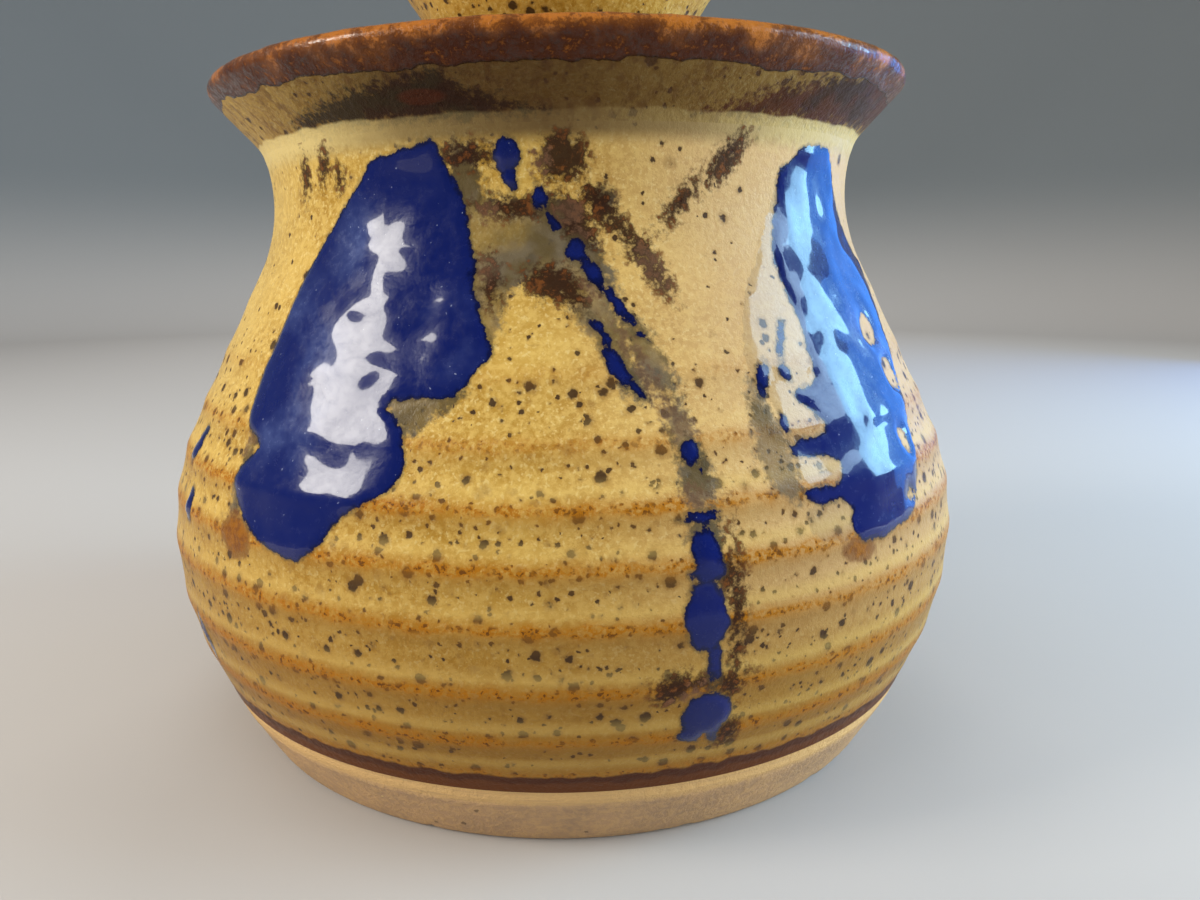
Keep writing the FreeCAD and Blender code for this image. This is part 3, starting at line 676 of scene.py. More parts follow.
def layered(tree, tint, *layers):
    """A colour with layers over it, from the lowest up. A layer is its share and its colour."""
    for share, layer in layers:
        tint = mixed(tree, share, tint, layer)
    return tint


def stored(tree, name):
    """A number stored at the points of the piece."""
    return add(tree, "ShaderNodeAttribute", attribute_name=name).outputs["Fac"]


def lumps(tree, where, size, detail=2.0, roughness=0.5):
    """Soft noise with lumps of a size in millimetres."""
    return add(tree, "ShaderNodeTexNoise", {
        "Vector": where, "Scale": 1 / (size * MM), "Detail": detail, "Roughness": roughness,
    }).outputs["Fac"]


def stretched(tree, where, scale):
    """Coordinates scaled along each axis."""
    return add(tree, "ShaderNodeMapping", {"Vector": where, "Scale": scale}).outputs["Vector"]


def bumpy(tree, height, depth):
    """The normal of a surface whose relief is a depth in metres."""
    bump = add(tree, "ShaderNodeBump", {"Strength": 1.0, "Distance": depth, "Height": height})
    return bump.outputs["Normal"]


def object_coordinates(tree):
    """Places on the piece, in metres."""
    return add(tree, "ShaderNodeTexCoord").outputs["Object"]


def new_group(name, inputs, outputs):
    """An empty node group with named sockets, and its input and output nodes."""
    group = bpy.data.node_groups.new(name, "ShaderNodeTree")
    for socket, kind in inputs.items():
        group.interface.new_socket(socket, in_out="INPUT", socket_type=kind)
    for socket, kind in outputs.items():
        group.interface.new_socket(socket, in_out="OUTPUT", socket_type=kind)
    return group, group.nodes.new("NodeGroupInput").outputs, group.nodes.new("NodeGroupOutput").inputs


def placed(tree, group, inputs):
    """The outputs of a group placed in a material, with its own values."""
    return add(tree, "ShaderNodeGroup", inputs, node_tree=group).outputs


FLOAT, VECTOR = "NodeSocketFloat", "NodeSocketVector"


def iron_specks():
    """Round dark specks of many sizes in scattered cells, ragged at the edge, with a soft halo."""
    group, given, out = new_group(
        "iron_specks",
        {"Where": VECTOR, "Cells per metre": FLOAT, "Share": FLOAT, "Size": FLOAT},
        {"Speck": FLOAT, "Halo": FLOAT})
    ragged = add(group, "ShaderNodeTexNoise", {"Vector": given["Where"], "Scale": 1900.0, "Detail": 1.0})
    shift = add(group, "ShaderNodeVectorMath", {0: ragged.outputs["Color"], 1: (0.0006, 0.0006, 0.0006)},
                operation="MULTIPLY")
    where = add(group, "ShaderNodeVectorMath", {0: given["Where"], 1: shift.outputs[0]}, operation="ADD")
    cells = add(group, "ShaderNodeTexVoronoi", {
        "Vector": where.outputs[0], "Scale": given["Cells per metre"]})
    chance = add(group, "ShaderNodeSeparateColor", {"Color": cells.outputs["Color"]})
    there = number(group, "LESS_THAN", chance.outputs["Red"], given["Share"])
    grade = number(group, "POWER", chance.outputs["Green"], 1.3)
    reach = times(group, given["Size"], number(group, "MULTIPLY_ADD", grade, 0.68, 0.32))
    share = number(group, "DIVIDE", cells.outputs["Distance"], reach)
    core = between(group, share, 1.05, 0.75)
    halo = between(group, share, 1.7, 0.8)
    group.links.new(times(group, core, there), out["Speck"])
    group.links.new(times(group, halo, there), out["Halo"])
    return group


def specks(tree, where, cells, share, size):
    """Specks in a material, with so many cells to the metre."""
    return placed(tree, SPECKS, {"Where": where, "Cells per metre": cells, "Share": share, "Size": size})


def glaze_mottle():
    """Clouds and fine crystal grain in a stoneware glaze."""
    group, given, out = new_group(
        "glaze_mottle", {"Where": VECTOR}, {"Cloud": FLOAT, "Grain": FLOAT, "Crystal": FLOAT})
    cloud = lumps(group, given["Where"], 8.0, detail=5.0, roughness=0.6)
    fine = lumps(group, given["Where"], 0.95, detail=3.0, roughness=0.75)
    tiny = lumps(group, given["Where"], 0.5, detail=1.0)
    group.links.new(between(group, cloud, 0.34, 0.66), out["Cloud"])
    group.links.new(between(group, fine, 0.36, 0.64), out["Grain"])
    group.links.new(between(group, tiny, 0.58, 0.70), out["Crystal"])
    return group


SPECKS = iron_specks()
MOTTLE = glaze_mottle()


def new_material(name):
    """A material with a plain shader, ready for its colour, roughness and normal."""
    material = bpy.data.materials.new(name)
    material.use_nodes = True
    return material, material.node_tree, material.node_tree.nodes["Principled BSDF"]


def colour(red, green, blue):
    """An opaque colour in linear light."""
    return (red, green, blue, 1.0)


# How glassy the poured glazes are, and how little the satin ochre mirrors
GLOSS_IOR = 1.30
SATIN_LEVEL = 0.14

OCHRE_DEEP = colour(0.35, 0.190, 0.024)
OCHRE = colour(0.49, 0.305, 0.062)
OCHRE_PALE = colour(0.64, 0.44, 0.125)
OCHRE_BROWN = colour(0.20, 0.090, 0.014)
# Painted light: a pinker, bluer ochre where cool light falls from the right
OCHRE_PINK = colour(0.53, 0.345, 0.175)
# Painted shade: a darker, browner ochre for the lower belly
OCHRE_LOW = colour(0.23, 0.105, 0.014)
# Painted shade, with browner glaze, under the lip
SHADE_BROWN = colour(0.058, 0.025, 0.009)
PATCH_DARK = colour(0.026, 0.015, 0.006)
CREAM = colour(0.68, 0.53, 0.22)
RUST = colour(0.34, 0.125, 0.004)
RUST_DARK = colour(0.075, 0.024, 0.005)
SPECK_BROWN = colour(0.030, 0.014, 0.008)
SPECK_HALO = colour(0.17, 0.080, 0.022)
COBALT = colour(0.0022, 0.0075, 0.088)
# Painted sheen: the pale haze of a broad reflection on the cobalt
COBALT_HAZE = colour(0.060, 0.085, 0.225)
COBALT_DEEP = colour(0.0015, 0.0030, 0.030)
FROST = colour(0.40, 0.45, 0.60)
SMEAR_GREY = colour(0.110, 0.088, 0.058)
SMEAR_OLIVE = colour(0.075, 0.054, 0.024)
COPPER = colour(0.34, 0.180, 0.105)
IRON_DARK = colour(0.026, 0.009, 0.004)
IRON_BROWN = colour(0.135, 0.042, 0.009)
IRON_RED = colour(0.058, 0.014, 0.004)
IRON_ORANGE = colour(0.40, 0.132, 0.018)
FOOT_BUFF = colour(0.43, 0.265, 0.140)
FOOT_GOLD = colour(0.66, 0.41, 0.155)
FOOT_GREY = colour(0.34, 0.215, 0.125)
GLAZE_BROWN = colour(0.065, 0.018, 0.006)


def speckled_ochre(tree, where, large_share, small_share, washes=()):
    """Colour, roughness and height of the ochre glaze, with washes of colour under its iron specks."""
    mottle = placed(tree, MOTTLE, {"Where": where})
    large = specks(tree, where, 420.0, large_share, 0.37)
    small = specks(tree, where, 880.0, small_share, 0.34)
    speck = number(tree, "MAXIMUM", large["Speck"], small["Speck"])
    tint = layered(
        tree, OCHRE_DEEP,
        (mottle["Cloud"], OCHRE),
        (times(tree, mottle["Grain"], 0.62), OCHRE_PALE),
        (times(tree, mottle["Crystal"], 0.5), CREAM),
        *washes,
        (times(tree, number(tree, "MAXIMUM", large["Halo"], small["Halo"]), 0.5), SPECK_HALO),
        (times(tree, speck, 0.9), SPECK_BROWN))
    gloss = between(tree, mottle["Grain"], 0.0, 1.0, 0.34, 0.46)
    height = number(tree, "MULTIPLY_ADD", speck, -0.6, mottle["Grain"])
    return tint, gloss, height


def rust_on_ridges(tree, tint, where, coarse):
    """Browner glaze and painted shade just below each throwing ridge, milkier glaze and painted light above
    it, and a dotted rust line along it.
    """
    there = stored(tree, "ridge_line")
    # Painted shade below each ridge and painted light above it, with browner and milkier glaze
    below = times(tree, stored(tree, "under_ridge"), there)
    above = times(tree, stored(tree, "over_ridge"), there)
    off = plus(tree, stored(tree, "crest"), between(tree, coarse, 0.2, 0.8, -0.4, 0.4))
    dots = lumps(tree, where, 0.8, detail=2.0, roughness=0.6)
    line = times(tree, between(tree, off, 0.95, 0.2), there)
    pepper = times(tree, between(tree, dots, 0.57, 0.64), line)
    return layered(
        tree, tint,
        # Painted shade with browner glaze below each ridge, painted light with milkier glaze above
        (times(tree, below, 0.40), OCHRE_BROWN),
        (times(tree, above, 0.32), OCHRE_PALE),
        (times(tree, between(tree, off, 1.9, 0.3, 0.0, 0.36), there), RUST),
        (times(tree, line, between(tree, dots, 0.42, 0.54, 0.12, 1.0)), RUST),
        (times(tree, pepper, 0.85), RUST_DARK))


def wall_glaze():
    """The wall: ochre glaze broken to rust on the ridges, with smears, iron marks and cobalt pours."""
    material, tree, shader = new_material("wall_glaze")
    where = object_coordinates(tree)
    height = stored(tree, "height")
    fray = lumps(tree, where, 1.1, detail=4.0, roughness=0.65)
    coarse = lumps(tree, where, 3.2, detail=3.0)
    cloud = lumps(tree, where, 9.0, detail=4.0)

    # Specks crowd low down on the wall, and thin out on the shoulder
    large_share = between(tree, height, 70.0, 56.0, 0.12, 0.90)
    small_share = between(tree, height, 74.0, 48.0, 0.12, 0.62)
    washes = [
        # Painted light: the right side pinker and bluer, as cool light from the right would make it
        (times(tree, stored(tree, "flushed"), 0.75), OCHRE_PINK),
        # Paler glaze with painted light on the upper left, where the light falls
        (times(tree, stored(tree, "pale"), 0.25), CREAM),
        # Painted shade: the wall darker and browner towards the foot
        (between(tree, height, 56.0, 16.0, 0.0, 0.80), OCHRE_LOW)]
    tint, gloss, bump = speckled_ochre(tree, where, large_share, small_share, washes)
    # Painted shade, with browner glaze, on the neck just under the lip, most at the front
    shaded = times(tree, between(tree, height, 87.5, 90.0), stored(tree, "dusky"))
    tint = mixed(tree, shaded, tint, SHADE_BROWN)
    tint = rust_on_ridges(tree, tint, where, coarse)

    # Cream where the glaze pools in the crease under the lip; more at the left and less at the front, as
    # painted light and shade
    pooled = plus(tree, height, between(tree, fray, 0.0, 1.0, -1.2, 1.2))
    pooled = times(tree, between(tree, pooled, 87.2, 90.0), stored(tree, "creamy"))

    # The dark brown edge of the glaze above the foot
    foot_edge = plus(tree, height, between(tree, coarse, 0.2, 0.8, -0.4, 0.4))

    # Grey and olive smears beside the pours
    ragged = between(tree, fray, 0.2, 0.8, -0.9, 0.9)
    film = between(tree, plus(tree, stored(tree, "smear"), ragged), -0.7, 0.7)
    film_tint = mixed(tree, between(tree, coarse, 0.38, 0.62), SMEAR_OLIVE, SMEAR_GREY)
    patchy = between(tree, cloud, 0.35, 0.60, 0.60, 0.95)
    clear = between(tree, plus(tree, stored(tree, "clear"), times(tree, ragged, 0.3)), -0.1, 0.1)

    # Iron marks, dark in the middle and frayed to rust
    iron = plus(tree, stored(tree, "iron"), between(tree, fray, 0.2, 0.8, -1.3, 1.3))
    iron_tint = mixed(tree, between(tree, fray, 0.52, 0.68), IRON_DARK, IRON_BROWN)

    # Orange spots with a dark edge, and faint coppery glints
    copper = plus(tree, stored(tree, "copper"), times(tree, ragged, 0.4))
    spot_tint = mixed(tree, between(tree, fray, 0.40, 0.60, 0.1, 0.6), IRON_BROWN, RUST)
    glint = between(tree, plus(tree, stored(tree, "glint"), ragged), -0.5, 0.6)
    glint = times(tree, glint, between(tree, fray, 0.40, 0.60, 0.25, 0.95))

    # Cobalt, with a dark rim, a painted hazy sheen in places, and frosted with tiny bubbles
    pour = plus(tree, stored(tree, "pour"), between(tree, fray, 0.2, 0.8, -0.28, 0.28))
    cobalt = between(tree, pour, -0.09, 0.09)
    # Painted sheen: a broad hazy reflection on the cobalt
    haze = times(tree, between(tree, cloud, 0.38, 0.66), stored(tree, "thin"))
    haze = times(tree, haze, between(tree, fray, 0.3, 0.7, 0.55, 1.0))
    frost = specks(tree, where, 1300.0, 0.22, 0.16)
    blue = layered(
        tree, COBALT,
        (haze, COBALT_HAZE),
        (times(tree, frost["Speck"], 0.4), FROST),
        (between(tree, pour, 0.55, 0.05), COBALT_DEEP))
    rim = times(tree, between(tree, pour, -0.45, -0.10), between(tree, pour, 0.05, -0.05))

    # All of these over the ochre, from the lowest up
    tint = layered(
        tree, tint,
        (pooled, CREAM),
        (between(tree, foot_edge, 13.4, 12.9), GLAZE_BROWN),
        (between(tree, foot_edge, 12.2, 11.6, 0.0, 0.55), IRON_BROWN),
        (times(tree, film, patchy), film_tint),
        (times(tree, clear, 0.22), SMEAR_GREY),
        (between(tree, iron, -1.3, 0.3, 0.0, 0.96), iron_tint),
        (between(tree, copper, -0.7, 0.0, 0.0, 0.7), IRON_BROWN),
        (between(tree, copper, 0.1, 0.9, 0.0, 0.8), spot_tint),
        (times(tree, glint, 0.45), COPPER),
        (cobalt, blue),
        (times(tree, rim, 0.5), SMEAR_OLIVE))
    wet = number(tree, "MAXIMUM", cobalt, clear)
    gloss = mixed(tree, film, gloss, colour(0.30, 0.30, 0.30))
    gloss = mixed(tree, cobalt, gloss, between(tree, fray, 0.3, 0.7, 0.14, 0.30))
    ripple = mixed(tree, cobalt, bump, times(tree, fray, 1.3))
    feed(tree, shader, {
        "Base Color": tint, "Roughness": gloss, "Metallic": times(tree, glint, 0.6),
        "Specular IOR Level": SATIN_LEVEL, "Coat Weight": times(tree, wet, 0.95),
        "Coat Roughness": 0.045, "Coat IOR": GLOSS_IOR, "Normal": bumpy(tree, ripple, 0.00003)})
    return material


def lip_glaze():
    """The lip: an iron band over its top and side, and streaked ochre glaze below a dark wandering line."""
    material, tree, shader = new_material("lip_glaze")
    where = object_coordinates(tree)
    height = stored(tree, "height")
    fray = lumps(tree, where, 1.0, detail=4.0, roughness=0.7)
    coarse = lumps(tree, where, 5.0, detail=4.0)
    tint, gloss, bump = speckled_ochre(tree, where, 0.30, 0.30)
    ragged = between(tree, fray, 0.2, 0.8, -1.2, 1.2)

    # Brushed streaks, a dark patch and a smear, and cream pooled in the crease, which changes round the pot
    # as painted light and shade
    streak = lumps(tree, stretched(tree, where, (1.0, 1.0, 0.30)), 1.5, detail=3.0, roughness=0.6)
    patch = plus(tree, stored(tree, "patch"), ragged)
    patch_tint = mixed(tree, between(tree, coarse, 0.44, 0.58), PATCH_DARK, IRON_DARK)
    smear = plus(tree, stored(tree, "smear"), times(tree, ragged, 1.3))
    smear_tint = mixed(tree, between(tree, coarse, 0.40, 0.60), IRON_DARK, IRON_RED)
    pooled = plus(tree, height, between(tree, coarse, 0.3, 0.7, -0.2, 0.2))
    pooled = times(tree, between(tree, pooled, 92.1, 91.7), stored(tree, "creamy"))

    # The iron band, orange on its top and dark at its lower edge
    edge = plus(tree, stored(tree, "band"), between(tree, coarse, 0.3, 0.7, -0.45, 0.45))
    band = between(tree, edge, -0.08, 0.08)
    rise = plus(tree, stored(tree, "rise"), between(tree, coarse, 0.25, 0.75, -0.45, 0.45))
    high = plus(tree, rise, between(tree, fray, 0.3, 0.7, -0.25, 0.25))
    iron = layered(
        tree, IRON_RED,
        (between(tree, rise, 0.15, 0.75), IRON_BROWN),
        (between(tree, high, 0.62, 1.0, 0.0, 0.9), IRON_ORANGE),
        (between(tree, fray, 0.54, 0.70, 0.0, 0.65), IRON_DARK),
        (between(tree, fray, 0.44, 0.30, 0.0, 0.40), IRON_ORANGE),
        (between(tree, edge, 0.45, 0.05, 0.0, 0.85), IRON_DARK))

    # All of these over the ochre, from the lowest up
    tint = layered(
        tree, tint,
        (between(tree, streak, 0.48, 0.66, 0.0, 0.7), OCHRE_BROWN),
        # Painted shade, with browner glaze, on the underside of the lip, most at the front
        (stored(tree, "dusky"), SHADE_BROWN),
        (between(tree, patch, -0.5, 0.9, 0.0, 0.95), patch_tint),
        (between(tree, smear, -1.0, 0.8, 0.0, 0.95), smear_tint),
        (between(tree, stored(tree, "red_spot"), -0.2, 0.15, 0.0, 0.9), IRON_RED),
        (pooled, CREAM),
        (band, iron))
    gloss = mixed(tree, band, gloss, between(tree, fray, 0.3, 0.7, 0.12, 0.30))
    ripple = mixed(tree, band, bump, times(tree, fray, 5.0))
    shine = times(tree, between(tree, fray, 0.46, 0.60, 0.05, 0.9), band)
    feed(tree, shader, {
        "Base Color": tint, "Roughness": gloss, "Specular IOR Level": SATIN_LEVEL, "Coat Weight": shine,
        "Coat Roughness": 0.10, "Coat IOR": GLOSS_IOR, "Normal": bumpy(tree, ripple, 0.00005)})
    return material


def bare_clay_colour(tree, where):
    """Colour and height of bare fired stoneware, with sandy grain and a few specks."""
    mottle = placed(tree, MOTTLE, {"Where": where})
    dark = specks(tree, where, 500.0, 0.10, 0.2)
    pale = specks(tree, where, 260.0, 0.05, 0.14)
    tint = layered(
        tree, FOOT_GREY,
        (mottle["Cloud"], FOOT_BUFF),
        (times(tree, mottle["Grain"], 0.35), FOOT_GOLD),
        (times(tree, dark["Speck"], 0.6), SPECK_BROWN),
        (pale["Speck"], CREAM))
    return tint, mottle["Grain"]


def foot_clay():
    """The bare foot: buff clay, golden above its edge and greyer below."""
    material, tree, shader = new_material("foot_clay")
    where = object_coordinates(tree)
    tint, grain = bare_clay_colour(tree, where)
    height = stored(tree, "height")
    turned_lines = lumps(tree, stretched(tree, where, (0.15, 0.15, 3.0)), 1.2, detail=2.0)
    tint = mixed(tree, between(tree, height, 7.3, 8.4, 0.0, 0.75), tint, FOOT_GOLD)
    tint = mixed(tree, between(tree, turned_lines, 0.5, 0.7, 0.0, 0.25), tint, FOOT_GREY)
    bump = plus(tree, grain, turned_lines)
    feed(tree, shader, {"Base Color": tint, "Roughness": 0.78, "Normal": bumpy(tree, bump, 0.00006)})
    return material


def glaze_over_clay(name, large_share, small_share, roughness):
    """Ochre glaze that stops at bare clay on the seating faces, as the piece's own marks say."""
    material, tree, shader = new_material(name)
    where = object_coordinates(tree)
    tint, _, bump = speckled_ochre(tree, where, large_share, small_share, [(0.25, OCHRE_BROWN)])
    clay, grain = bare_clay_colour(tree, where)
    fray = lumps(tree, where, 1.4, detail=3.0)
    ragged = between(tree, fray, 0.2, 0.8, -0.35, 0.35)
    bare = between(tree, plus(tree, stored(tree, "bare"), ragged), 0.4, 0.6)
    iron = between(tree, plus(tree, stored(tree, "iron"), ragged), 0.4, 0.7)
    tint = mixed(tree, times(tree, iron, 0.9), tint, IRON_BROWN)
    tint = mixed(tree, bare, tint, clay)
    gloss = mixed(tree, bare, colour(roughness, roughness, roughness), colour(0.75, 0.75, 0.75))
    ripple = mixed(tree, bare, bump, grain)
    feed(tree, shader, {
        "Base Color": tint, "Roughness": gloss, "Specular IOR Level": SATIN_LEVEL,
        "Normal": bumpy(tree, ripple, 0.00003)})
    return material


# The pieces


def pour_depth(places, angles, height):
    """Distance into the cobalt pours and drips, with toothed edges."""
    turn = np.degrees(angles)
    teeth = 0.42 * waver(places, 2.6, 1) + 0.25 * waver(places, 1.3, 2)
    smooth_edge = smoothstep(-46, -42, turn) * smoothstep(-25, -33, turn)
    depth = outline_distance(angles, height, LEFT_POUR)
    depth = np.maximum(depth, outline_distance(angles, height, RIGHT_POUR))
    depth = np.minimum(depth, -marks_distance(angles, height, POUR_GAPS))
    depth = np.maximum(depth, marks_distance(angles, height, DRIPS))
    for outline, turned_by, mirror, rise in BACK_POURS:
        depth = np.maximum(depth, outline_distance(angles, height, outline, turned_by, mirror, rise))
    depth = np.maximum(depth, marks_distance(angles, height, DRIPS, BACK_DRIPS_TURN))
    return depth + teeth * (1 - 0.8 * smooth_edge)


def make_wall():
    """The glazed wall, with its throwing ridges and the relief of the poured glaze."""
    mesh = turned("glazed_wall", wall_outline(), clay_middle()[::-1])
    places, angles, radius, height = where_it_lies(mesh)
    turn = np.degrees(angles)
    ridge, hollow = ridge_distance(angles, height)
    pour = pour_depth(places, angles, height)
    smear = marks_distance(angles, height, SMEARS)
    for outline in (SMEAR, SMEAR_BELOW, SMEAR_RIGHT):
        smear = np.maximum(smear, outline_distance(angles, height, outline))
    clear = outline_distance(angles, height, CLEAR)
    clear = np.maximum(clear, outline_distance(angles, height, CLEAR_BELOW))
    on_right = smoothstep(-6, 34, turn) * smoothstep(100, 70, turn)
    on_left = smoothstep(-34, -62, turn) * smoothstep(-135, -100, turn)
    write(
        mesh, height=height, crest=np.abs(ridge),
        # Where painted light and shade fall above and below each ridge
        over_ridge=smoothstep(0.9, 1.8, ridge) * smoothstep(3.8, 1.8, ridge),
        under_ridge=smoothstep(-0.2, -1.0, ridge) * smoothstep(-3.4, -1.2, ridge),
        ridge_line=np.interp(height, [14.0, 18.0, 50.0, 56.0, 70.0], [0.6, 1.0, 0.9, 0.3, 0.0]),
        # Painted light: the right side pinker and bluer where cool light falls, the left paler where light
        # falls, along with paler glaze
        flushed=on_right * smoothstep(18, 40, height), pale=on_left * smoothstep(44, 62, height),
        # Painted light and shade round the crease under the lip, with creamier and browner glaze
        creamy=creaminess(turn), dusky=duskiness(turn),
        pour=capped(pour), smear=capped(smear), clear=capped(clear),
        iron=capped(marks_distance(angles, height, IRON_MARKS)),
        copper=capped(marks_distance(angles, height, COPPER_SPOTS)),
        glint=capped(marks_distance(angles, height, COPPER_GLINTS)),
        # Where the cobalt gets its painted hazy sheen
        thin=smoothstep(-3.0, 6.0, marks_distance(angles, height, HAZY_PLACES)))

    lumpy = 0.42 * waver(places, 9.0, 3) + 0.14 * waver(places, 3.6, 4)
    glaze = np.maximum(smoothstep(-0.1, 1.0, pour), 0.35 * smoothstep(-0.2, 0.6, clear))
    proud = -hollow + glaze * (POUR_RISE + lumpy) + SMEAR_RISE * smoothstep(-0.2, 0.8, smear)
    proud += WALL_LUMPS * waver(places, 11.0, 5) * smoothstep(14, 24, height) - WALL_SUNK
    keep_edge = smoothstep(GLAZE_EDGE_HEIGHT, GLAZE_EDGE_HEIGHT + 1.0, height)
    keep_edge *= smoothstep(CREASE_HEIGHT - 1.3, CREASE_HEIGHT - 2.7, height)
    room = BELLY_RADIUS - BOX_ROOM - radius
    pushed_out(mesh, places, np.minimum(proud * keep_edge, room))
    finish_piece("glazed_wall", mesh, wall_glaze(), "pot", "pot_body")


def duskiness(turn):
    """How much painted shade, with browner, thinner glaze, darkens the crease and the lip's underside round
    the pot: most at the front and the back.
    """
    turns = [-180.0, -140.0, -60.0, -38.0, -22.0, 0.0, 20.0, 45.0, 70.0, 140.0, 180.0]
    return np.interp(turn, turns, [0.5, 0.4, 0.3, 0.55, 0.85, 0.9, 0.78, 0.62, 0.35, 0.4, 0.5])


def creaminess(turn):
    """How much cream glaze pools in the crease round the pot, with painted light and shade in how it
    changes: most at the left, where light falls, least at the front, which lies in shade.
    """
    turns = [-180.0, -90.0, -42.0, -22.0, 0.0, 22.0, 42.0, 180.0]
    return np.interp(turn, turns, [0.6, 0.8, 0.8, 0.2, 0.05, 0.15, 0.55, 0.6])


def make_lip():
    """The lip, with its iron band."""
    closing = [GALLERY_INSIDE_CLAY, (NECK_END[0] - WALL / 2, NECK_END[1])]
    mesh = turned("lip", lip_outline(), closing)
    places, angles, radius, height = where_it_lies(mesh)
    turn = np.degrees(angles)
    inner = (radius < LIP_INNER[0]) & (height > LEDGE_HEIGHT - 0.1)
    line = np.interp(turn, BAND_LINE_TURNS, BAND_LINE_HEIGHTS) + 0.12 * np.sin(9 * angles)
    patch = capped(outline_distance(angles, height, LIP_PATCH))
    smear = capped(outline_distance(angles, height, LIP_SMEAR))
    red_spot = capped(marks_distance(angles, height, LIP_RED_SPOT))
    write(
        mesh, height=np.where(inner, LIP_TOP, height), band=np.where(inner, 4.0, (height - line) * 1.4),
        rise=np.where(inner, 0.8, (height - line) / (LIP_TOP - line)),
        patch=np.where(inner, -FAR, patch), smear=np.where(inner, -FAR, smear),
        # Painted light and shade round the crease under the lip, with creamier and browner glaze
        red_spot=np.where(inner, -FAR, red_spot), creamy=creaminess(turn), dusky=duskiness(turn))
    proud = 0.10 * waver(places, 5.0, 6) + 0.06 * waver(places, 1.5, 7)
    seat = inner & (height < LEDGE_HEIGHT + 1.0)
    outer = smoothstep(CREASE_HEIGHT + 0.3, CREASE_HEIGHT + 1.7, height) * np.where(seat, 0, 1)
    pushed_out(mesh, places, (proud - 0.05) * outer)
    finish_piece("lip", mesh, lip_glaze(), "pot", "pot_body")


def make_liner():
    """The glazed inside, with a bare ledge where the lid sits."""
    closing = [(0.0, FLOOR - 2.0), (46.0, FLOOR - 2.0)] + clay_middle() + [GALLERY_INSIDE_CLAY]
    mesh = turned("liner", liner_outline(), closing, STEPS_ROUND // 2)
    places, angles, radius, height = where_it_lies(mesh)
    ledge = smoothstep(LEDGE_HEIGHT - 0.8, LEDGE_HEIGHT - 0.2, height)
    write(mesh, bare=ledge, iron=np.zeros(len(places)))
    spiral = 0.10 * np.sin(2 * math.pi * height / 7.0 + angles) * smoothstep(90, 82, height)
    swirl = 0.12 * np.sin(2 * math.pi * radius / 8.0 + angles) * smoothstep(2, 10, radius)
    on_floor = smoothstep(FLOOR + 4, FLOOR + 0.5, height)
    pushed_out(mesh, places, spiral * (1 - on_floor) * smoothstep(12, 22, height) + swirl * on_floor)
    inside = glaze_over_clay("inside_glaze", 0.25, 0.2, 0.25)
    finish_piece("liner", mesh, inside, "pot", "pot_body")


def make_foot():
    """The bare foot and the recess inside its ring."""
    closing = [(0.0, 5.0), (54.0, 5.0), (56.5, 9.0)]
    mesh = turned("bare_foot", foot_outline(), closing)
    places, angles, radius, height = where_it_lies(mesh)
    write(mesh, height=height)
    nicks = np.maximum(waver(places, 2.2, 8) - 0.35, 0) * 0.5 * smoothstep(2.2, 0.2, height)
    nicks *= smoothstep(FOOT_RADIUS - 4.2, FOOT_RADIUS - 0.7, radius)
    turning = 0.05 * np.sin(2 * math.pi * height / 1.7 + angles) * smoothstep(0.6, 2, height)
    turning *= smoothstep(GLAZE_EDGE_HEIGHT - 0.5, GLAZE_EDGE_HEIGHT - 1.4, height)
    pushed_out(mesh, places, np.where(height > 0.01, turning - nicks, 0.0))
    finish_piece("bare_foot", mesh, foot_clay(), "pot", "pot_body")


def make_lid():
    """The lid, glazed on its top and ceiling, bare where it sits on the ledge."""
    mesh = turned("lid_plate", lid_outline(), steps=STEPS_ROUND // 2)
    places, angles, radius, height = where_it_lies(mesh)
    under = smoothstep(LEDGE_HEIGHT + 1.2, LEDGE_HEIGHT + 0.8, height)
    seat = under * smoothstep(FLANGE_INSIDE + 0.2, FLANGE_INSIDE + 0.8, radius)
    rim = smoothstep(LID_RADIUS - 3.4, LID_RADIUS - 2.2, radius)
    rim *= smoothstep(LEDGE_HEIGHT + 1.2, LEDGE_HEIGHT + 1.8, height)
    write(mesh, bare=seat, iron=rim)
    spiral = 0.06 * np.sin(2 * math.pi * radius / 5.0 + angles) * smoothstep(24, 28, radius)
    spiral *= smoothstep(LID_RADIUS - 2, LID_RADIUS - 5, radius) * (1 - under)
    pushed_out(mesh, places, spiral)
    glaze = glaze_over_clay("lid_glaze", 0.4, 0.35, 0.32)
    finish_piece("lid_plate", mesh, glaze, "lid", "lid")


def make_knob():
    """The flared knob."""
    mesh = turned("flared_knob", knob_outline(), steps=STEPS_ROUND // 2)
    places, angles, radius, height = where_it_lies(mesh)
    rim = smoothstep(KNOB_RADIUS - 3.6, KNOB_RADIUS - 1.6, radius)
    rim *= smoothstep(KNOB_TOP - 2, KNOB_TOP - 0.6, height)
    write(mesh, bare=np.zeros(len(places)), iron=0.62 * rim)
    rings = 0.05 * np.sin(2 * math.pi * height / 4.2 + angles)
    rings *= smoothstep(KNOB_TOP - 14.5, KNOB_TOP - 12.5, height)
    pushed_out(mesh, places, (rings - 0.05) * smoothstep(KNOB_TOP - 1, KNOB_TOP - 3, height))
    knob = glaze_over_clay("knob_glaze", 0.7, 0.45, 0.32)
    finish_piece("flared_knob", mesh, knob, "lid", "lid_knob")


# Floor, lights and camera

FLOOR_COLOUR = colour(0.44, 0.42, 0.40)
BACKDROP_COLOUR = colour(0.20, 0.215, 0.22)
FLOOR_REACH = 0.80
SWEEP_ROUND = 0.25
SWEEP_TOP = 0.46
ROOM_LIGHT = colour(0.45, 0.44, 0.43)
ROOM_SEEN = colour(0.125, 0.140, 0.145)


